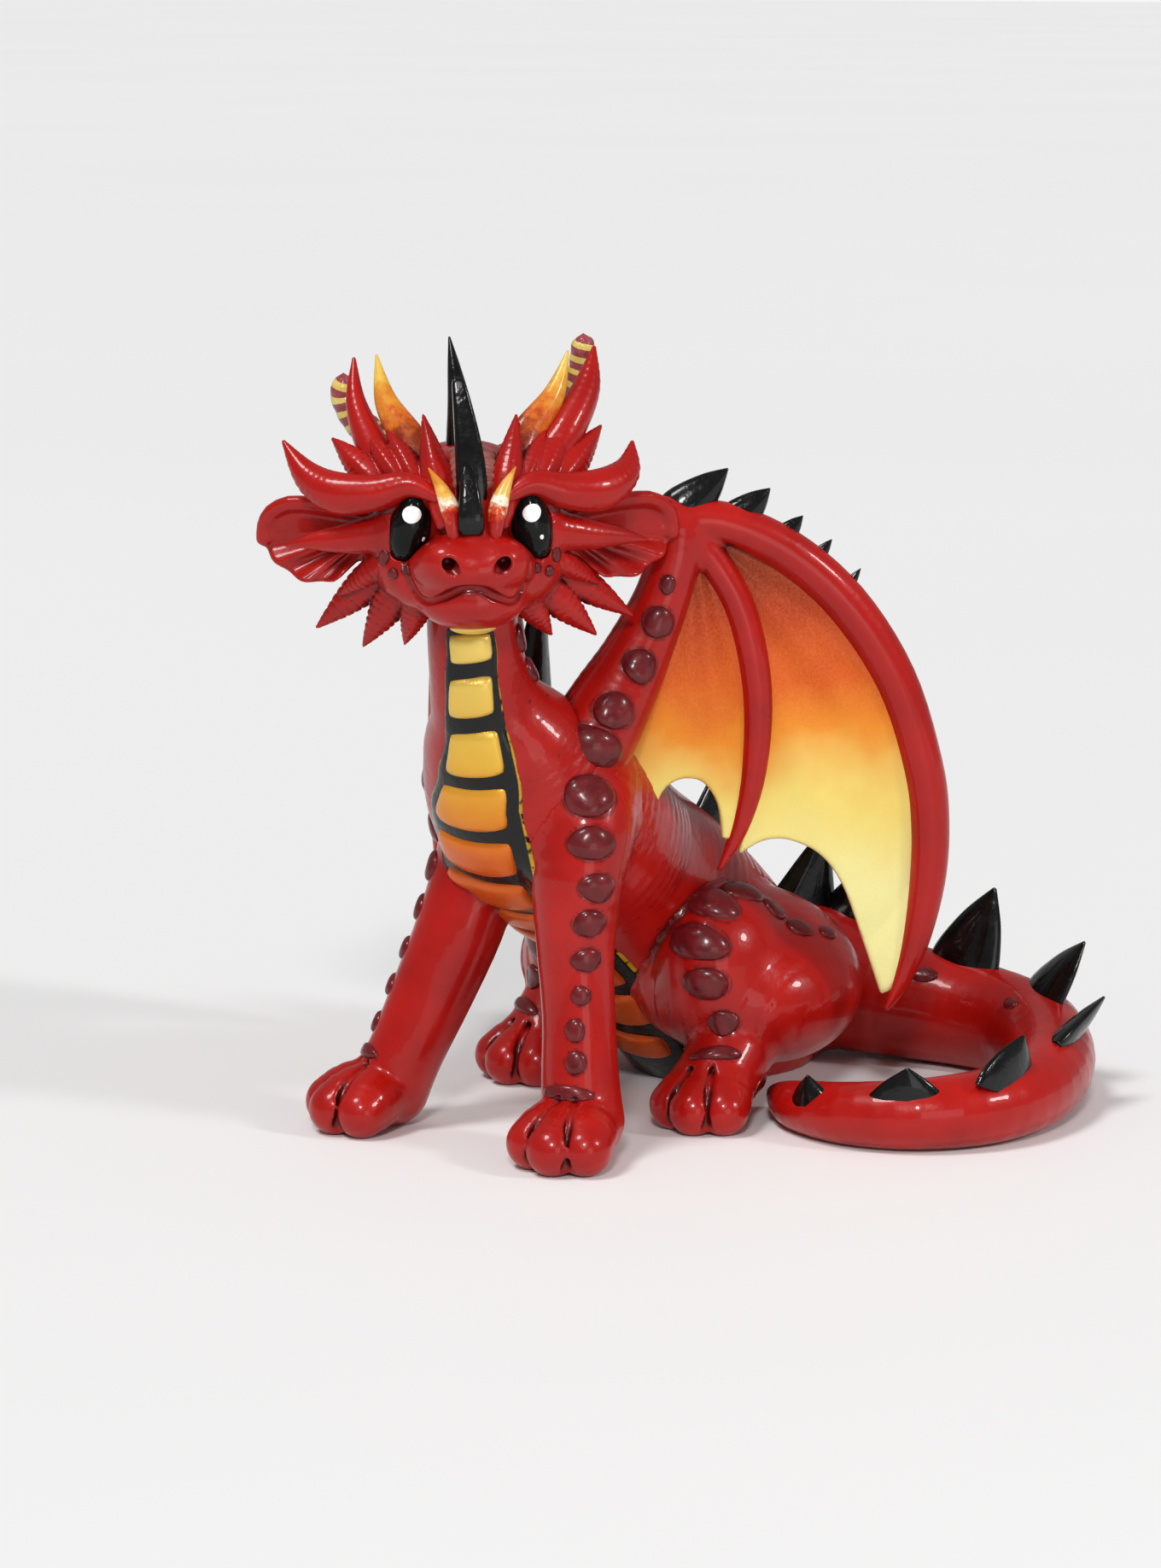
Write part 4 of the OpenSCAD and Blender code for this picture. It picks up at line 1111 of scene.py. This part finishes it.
def slab_faces(rows, columns):
    """Faces of a closed slab: a grid, the same grid under it, and its four walls."""
    faces, under = [], rows * columns
    for i in range(rows - 1):
        for j in range(columns - 1):
            a, b = i * columns + j, (i + 1) * columns + j
            faces += [(a, a + 1, b + 1, b), (under + a, under + b, under + b + 1, under + a + 1)]
    rim = list(range(columns)) + [i * columns + columns - 1 for i in range(1, rows)]
    rim += [(rows - 1) * columns + j for j in range(columns - 2, -1, -1)]
    rim += [i * columns for i in range(rows - 2, 0, -1)]
    for a, b in zip(rim, rim[1:] + rim[:1]):
        faces.append((a, under + a, under + b, b))
    return faces


build_head()
for name, side in SIDES:
    build_eye(name, side)
    build_painted_horns(name, side)
    build_cheek_scales(name, side)
build_head_spikes()
build_crown_patch()
build_chin_plate()


# ---------- pieces: the belly ----------

SPINE_LINE = smooth_line(SPINE, SPINE_STEP)
# Half the angle that the black band and the gold plates take round the body
BAND_HALF, PLATE_HALF = 35, 26


def belly_point(s, angle, lift):
    """A point over the belly, at a place along the spine and an angle off its line, and the row's centre."""
    def at(place):
        i = min(int(place), len(SPINE_LINE) - 2)
        return SPINE_LINE[i] + (SPINE_LINE[i + 1] - SPINE_LINE[i]) * (place - i)
    row = at(s)
    way = unit(at(s + 0.5)[:3] - at(s - 0.5)[:3])
    across = unit(np.cross([0, 1.0, 0], way))
    back = np.cross(way, across)
    # The belly line turns with the head up the neck, and a little the other way under the chest
    up_neck, under_chest = min(max((row[2] - 42) / 13, 0), 1), min(max((44 - row[2]) / 8, 0), 1)
    turn = 34 * up_neck - 9.5 * under_chest
    a = math.radians(270 + turn + angle)
    return row[:3] + across * (row[3] + lift) * math.cos(a) + back * (row[4] + lift) * math.sin(a), row[:3]


def over_skin(verts, centres, lifts):
    """Belly points pushed out over the torso's skin, and over the forelegs' fillets on the chest."""
    chest_from, fade, step, floor = 35.5, 1.5, 0.6, 0.02
    chest = joined(LEG_BLEND, torso, left_foreleg, right_foreleg)
    out = unit(verts - centres)
    share = np.clip((centres[:, 2] - chest_from) / fade, 0, 1)
    for _ in range(4):
        verts = verts + out * np.clip(lifts - torso(verts), 0, step)[:, None]
        verts = verts + out * (share * np.clip(lifts - chest(verts), 0, step))[:, None]
    verts[:, 2] = np.maximum(verts[:, 2], floor)
    return verts


PLATES = [
    (6.3, 7.3), (7.7, 9.4), (9.9, 12.0), (12.4, 14.4), (14.9, 16.2), (16.5, 18), (18.3, 19.9), (20.3, 22.6),
    (23.1, 25.9), (26.6, 28.8), (29.5, 31.2)]


def belly_slab(spans, half_angle, rows, columns, height, sunk):
    """Closed slabs on the belly. height(u, v, s) is the lift at u across and v along, both -1 to 1, and at s
    on the spine's line."""
    verts, faces, across, edge, centres, lifts = [], [], [], [], [], []
    for low, high in spans:
        start = len(verts)
        for under in (False, True):
            for i in range(rows):
                v = 2 * i / (rows - 1) - 1
                for j in range(columns):
                    u = 2 * j / (columns - 1) - 1
                    s = (low + high) / 2 + (high - low) / 2 * v * (1 - 0.1 * abs(u) ** 4)
                    lift = -sunk if under else height(u, v, s)
                    spot, centre = belly_point(s, half_angle * u * (1 - 0.06 * abs(v) ** 4), lift)
                    verts.append(spot)
                    centres.append(centre)
                    lifts.append(lift)
                    across.append(abs(u))
                    edge.append(max(abs(u), abs(v)) ** 3)
        faces += [tuple(k + start for k in face)[::-1] for face in slab_faces(rows, columns)]
    verts = over_skin(np.array(verts), np.array(centres), np.array(lifts))
    return verts, faces, {"across": across, "edge": edge}


def band_height(u, v, s):
    return 0.34 * (1 - abs(u) ** 10) + 0.06 * math.sin(s * 2.3 + u * 2)


def plate_height(u, v, s):
    return 0.12 + 0.86 * math.sqrt(max(1 - abs(u) ** 5, 0)) * math.sqrt(max(1 - abs(v) ** 4, 0))


def build_belly():
    verts, faces, marks = belly_slab([(4.4, 32)], BAND_HALF, 120, 25, band_height, 0.7)
    make_piece("belly_band_skin", verts, faces, ["belly_band"], "black_band", BAND, marks)
    verts, faces, marks = belly_slab(PLATES, PLATE_HALF, 13, 19, plate_height, 0.1)
    make_piece("belly_plate_pillows", verts, faces, ["belly_plates"], "gold_plate", PLATE, marks)


build_belly()


# ---------- pieces: wings, in the wing's own frame: X along, -Y outward, Z up ----------

WING_AT = np.array([5.0, -33.0, 0.0])
WING = turned(44)
# The arm swells outward at its root: along, out, height, radius
ARM = [
    [-0.2, -2.3, 41.6, 4.1], [0.6, -2.4, 43.2, 4.8], [3, -1.2, 47, 4.5], [6, -0.2, 52, 3.7], [9, 0, 58.5, 3],
    [10.5, 0, 64.5, 2.8], [9.5, 0, 67.6, 1.7]]
FIRST_FINGER = [
    [9.5, 66.6, 2.1], [15.5, 66.3, 2.2], [22.5, 63, 2.4], [29, 57.2, 2.5], [34.4, 49, 2.4], [37.6, 39.5, 2.3],
    [38.58, 33, 2.18], [38.4, 26.5, 2], [37.1, 19.5, 1.5], [35.4, 14.8, 0.9], [34, 12.2, 0.25]]
SECOND_FINGER = [
    [11, 65.5, 2.1], [14.4, 62.2, 1.8], [17.5, 56.5, 1.8], [19.3, 48, 1.75], [19, 39.5, 1.5], [17.5, 33, 1],
    [15.3, 28.4, 0.25]]
INNER_EDGE = [
    [[12, 62.5], [9.5, 57.5], [6.5, 51], [3.6, 45.5], [3, 40.5], [4.5, 39], [8, 34.8]],
    [[8, 34.8], [8.8, 37], [9.9, 38.2], [11.5, 38.7], [13.4, 38.2], [15, 35.8], [15.6, 32]],
    [[15.6, 32], [17, 32.5], [18.5, 39.5], [18.9, 48], [17, 56], [14, 61.5]]]
OUTER_EDGE = [
    [[14, 64], [17.5, 57], [19.5, 48], [19.3, 39.5], [18, 33.5], [17.4, 30]],
    [[17.4, 30], [20, 31.5], [22.8, 31.6], [26.2, 30], [28.8, 26.6], [31, 21], [33.4, 14]],
    [
        [33.4, 14], [35, 15], [37, 20], [38, 26.5], [38, 33], [37, 39.5], [34, 48.6], [28.5, 56.6], [22, 62],
        [16.5, 65]]]


def from_wing(p):
    return p @ WING.T + WING_AT


def membrane_field(curves, middle, span):
    """A thin sheet inside an outline, with a soft billow and folds that fan out from the wrist."""
    outline = np.concatenate([smooth_line(c, 4)[:-1] for c in curves])

    def field(p):
        edge = polygon_distance(p[:, [0, 2]], outline)
        r = np.linalg.norm((p[:, [0, 2]] - middle) / span, axis=1)
        angle = np.arctan2(p[:, 2] - 66, p[:, 0] - 12)
        billow = 0.9 * np.clip(1 - r ** 2, 0, 1) + 0.1 * np.sin(angle * 21)
        sheet = np.abs(p[:, 1] + billow - 0.3) - 0.5
        return -smooth_min(-edge, -sheet, 0.35)
    return field


def both_wings(stem, verts, faces, slot, material, marks=None):
    """The same piece on the left wing and, mirrored, on the right."""
    make_piece(f"{stem}_left_piece", verts, faces, [f"{stem}_left"], slot, material, marks)
    flipped = [tuple(f)[::-1] for f in faces]
    make_piece(f"{stem}_right_piece", verts * [-1, 1, 1], flipped, [f"{stem}_right"], slot, material, marks)


def build_wing_frame():
    """The arm and the two fingers as one casting, and the scales on the arm."""
    lines = [ARM] + [[[x, 0, z, r] for x, z, r in rows] for rows in (FIRST_FINGER, SECOND_FINGER)]
    shape = joined(0.9, *[tube(rows, 5) for rows in lines])

    def flank(p):
        return torso(from_wing(p))
    verts, quads = sculpt(grown_from(shape, flank, 0.3), (-6, -6, 8), (43, 6, 71), 0.36)
    # Creases marked for painted shade and the paint's dark wash
    wash_and_shade = crease(verts, nearest_of(shape, flank))
    specs = (
        ((9, 0, 60.1), 0.9, 1.1, 0), ((8, 0, 56.1), 1.75, 1.8, 0), ((5.9, 0, 51.6), 1.95, 1.9, 0),
        ((2.8, 0, 47.2), 2.35, 2.0, -12), ((0.2, -2, 43.6), 3.5, 2.25, -24))
    laid = [
        scale_mesh(shape, centre, (0, -1, 0), a, b, turn, 0.28 * min(a, b) + 0.22, i)
        for i, (centre, a, b, turn) in enumerate(specs)]
    # Painted shade and dark wash in the crease round each arm scale
    for _, _, rim in laid:
        wash_and_shade = np.maximum(wash_and_shade, rim_shade_and_wash(verts, rim))
    verts = from_wing(verts)
    both_wings("wing_frame", verts, facing_out(verts, quads).tolist(), "red_skin", RED, {"wash_and_shade": wash_and_shade})
    verts, faces = merged(laid)
    both_wings("wing_scales", from_wing(verts), faces, "maroon_scale", MAROON)


def build_membranes():
    for stem, curves, middle, span in (
            ("inner_membrane", INNER_EDGE, (12, 48), (9, 20)),
            ("outer_membrane", OUTER_EDGE, (28, 45), (12, 26))):
        field = membrane_field(curves, np.array(middle), np.array(span))
        low, high = np.concatenate(curves).min(0) - 2, np.concatenate(curves).max(0) + 2
        verts, quads = sculpt(field, (low[0], -3, low[1]), (high[0], 3, high[1]), 0.3)
        verts = from_wing(verts)
        both_wings(stem, verts, facing_out(verts, quads).tolist(), "wing_membrane", MEMBRANE)


def build_wing_spikes():
    """Five black spikes along the leading edge, each from its base's along and height to its tip's."""
    spikes = []
    for x0, z0, x1, z1, width in (
            (10.6, 67.0, 16, 72, 5.6), (16.8, 66.2, 20.6, 69.8, 4.4), (21.8, 64.2, 24.2, 66.8, 2.8),
            (25.4, 61.8, 27.4, 64.2, 2.0), (28.8, 58.6, 30.6, 61, 1.6)):
        a, b = np.array([x0, 0, z0]), np.array([x1, 0, z1])
        rows = [[*(a + (b - a) * t), w * width / 2, w * width * 0.3] for t, w in (
            (-0.2, 0.9), (0.1, 1), (0.4, 0.82), (0.72, 0.48), (1, 0.04))]
        spikes.append(swept(rows, (0, 1, 0), 20, 6, diamond(1.6)))
    verts, faces, marks = gathered(spikes)
    both_wings("wing_spikes", from_wing(verts), faces, "black_spike", BLACK, marks)


build_wing_frame()
build_membranes()
build_wing_spikes()


# ---------- pieces: spikes down the back and tail ----------

def fin(base, tip, width, heading, thickness=2.8, full=0.0):
    """A broad fin along a heading. It narrows in a hollow curve to its tip, or a fuller one."""
    a, b = np.array(base, float), np.array(tip, float)
    rows = [[*(a + (b - a) * t), d * thickness / 2, (w + full * t * (1 - t)) * width / 2] for t, w, d in (
        (-0.1, 1.1, 1), (0.12, 0.94, 1), (0.35, 0.72, 0.85), (0.65, 0.42, 0.6), (0.98, 0.05, 0.12))]
    return swept(rows, heading, 24, 7, diamond(1.6))


def build_spikes():
    back = [
        ((0, -35.5, 44), (0, -33, 61), 9, (0, 1, -0.9)), ((0, -25, 38), (0, -20.7, 50.5), 10, (0, 1, -0.7)),
        ((0, -13.5, 32), (0, -9, 43), 10, (0, 1, -0.7)), ((0, 1.2, 25), (0, 7.6, 40), 14, (0, 1, -0.8)),
        ((4.6, 12, 15.4), (6.8, 14.4, 26.6), 10, (0.6, 1, -0.5))]
    verts, faces, marks = gathered([fin(*spike) for spike in back])
    make_piece("back_spikes_swept", verts, faces, ["back_spikes"], "black_spike", BLACK, marks)
    along_tail = [
        ((10, 14.5, 15), (14, 18.5, 24.5), 8, 15), ((24.4, 16, 11.4), (27.4, 18, 21), 8.6, 5),
        ((36, 13.6, 9.6), (41, 14.6, 17), 9, -35), ((44, 2.5, 7.4), (46.4, 9.4, 12.4), 7.6, -75),
        ((45.6, -11.4, 6), (46.5, -9, 11.7), 11.5, -95), ((38.8, -20.4, 4.8), (39.3, -21.2, 9.5), 9.4, -150),
        ((28.2, -22.2, 3.8), (27.8, -22.8, 7.4), 6, 175)]
    fins = []
    for base, tip, width, heading in along_tail:
        a = math.radians(heading)
        fins.append(fin(base, tip, width, (math.cos(a), math.sin(a), 0), 2.8, 0.5))
    verts, faces, marks = gathered(fins)
    make_piece("tail_spikes_swept", verts, faces, ["tail_spikes"], "black_spike", BLACK, marks)


build_spikes()


# ---------- stage ----------

# How far off the camera and the suns are put
FAR = 500


def aim(thing, spot, target):
    way = unit(np.array(target, float) - np.array(spot, float))
    thing.location = tuple(np.array(spot, float) * MM)
    right = unit(np.cross(way, [0, 0, 1.0]))
    up = np.cross(right, way)
    turn = np.stack([right, up, -way], 1)
    thing.rotation_euler = Matrix(turn.tolist()).to_euler()


def area_light(name, azimuth, elevation, distance, size, power, target):
    """A soft square light, placed by its angles round the object."""
    light = bpy.data.lights.new(name, "AREA")
    light.energy = power
    light.size = size * MM
    thing = bpy.data.objects.new(name, light)
    bpy.context.scene.collection.objects.link(thing)
    aim(thing, np.array(target) + distance * compass(azimuth, elevation), target)


def sun_light(name, azimuth, elevation, strength, spread):
    """Even light from far away, as wide as spread in degrees, so that the floor is one tone."""
    light = bpy.data.lights.new(name, "SUN")
    light.energy = strength
    light.angle = math.radians(spread)
    thing = bpy.data.objects.new(name, light)
    bpy.context.scene.collection.objects.link(thing)
    aim(thing, FAR * compass(azimuth, elevation), (0, 0, 0))


def build_stage():
    """A plain pale floor, a pale surround, soft lights and the camera."""
    mesh = bpy.data.meshes.new("floor")
    half = 12.0
    corners = [(-half, -half, 0), (half, -half, 0), (half, half, 0), (-half, half, 0)]
    mesh.from_pydata(corners, [], [(0, 1, 2, 3)])
    floor = bpy.data.objects.new("floor", mesh)
    bpy.context.scene.collection.objects.link(floor)
    paint = Paint("floor_white", roughness=0.6, coat=0.0)
    paint.colour(paint.ramp(paint.noise(400), (0.3, (0.86, 0.86, 0.86, 1)), (0.7, (0.88, 0.88, 0.88, 1))))
    mesh.materials.append(paint.material)

    world = bpy.data.worlds.new("surround")
    world.use_nodes = True
    back = world.node_tree.nodes["Background"]
    back.inputs["Color"].default_value = (1, 1, 1, 1)
    path = world.node_tree.nodes.new("ShaderNodeLightPath")
    bright = world.node_tree.nodes.new("ShaderNodeMapRange")
    bright.inputs["To Min"].default_value = 0.28  # Light on the dragon
    bright.inputs["To Max"].default_value = 0.925  # Tone of the backdrop
    world.node_tree.links.new(path.outputs["Is Camera Ray"], bright.inputs["Value"])
    world.node_tree.links.new(bright.outputs["Result"], back.inputs["Strength"])
    bpy.context.scene.world = world

    sun_light("sun", -15, 62, 1.45, 16)
    sun_light("front_sun", 32, 36, 1.15, 9)
    sun_light("side_sun", 100, 30, 0.8, 9)
    area_light("membrane_glow", 55, 4, 330, 120, 0.08, (18, -22, 40))

    camera = bpy.data.cameras.new("camera")
    camera.sensor_width = 36
    camera.lens = 101.96
    camera.clip_start = 0.01
    camera.dof.use_dof = False
    eye = bpy.data.objects.new("camera", camera)
    bpy.context.scene.collection.objects.link(eye)
    target = np.array([-8.3, -13.8, 34.0])
    aim(eye, target + FAR * compass(35, 10.5), target)
    bpy.context.scene.camera = eye
    bpy.context.scene.view_settings.view_transform = "Standard"


build_stage()
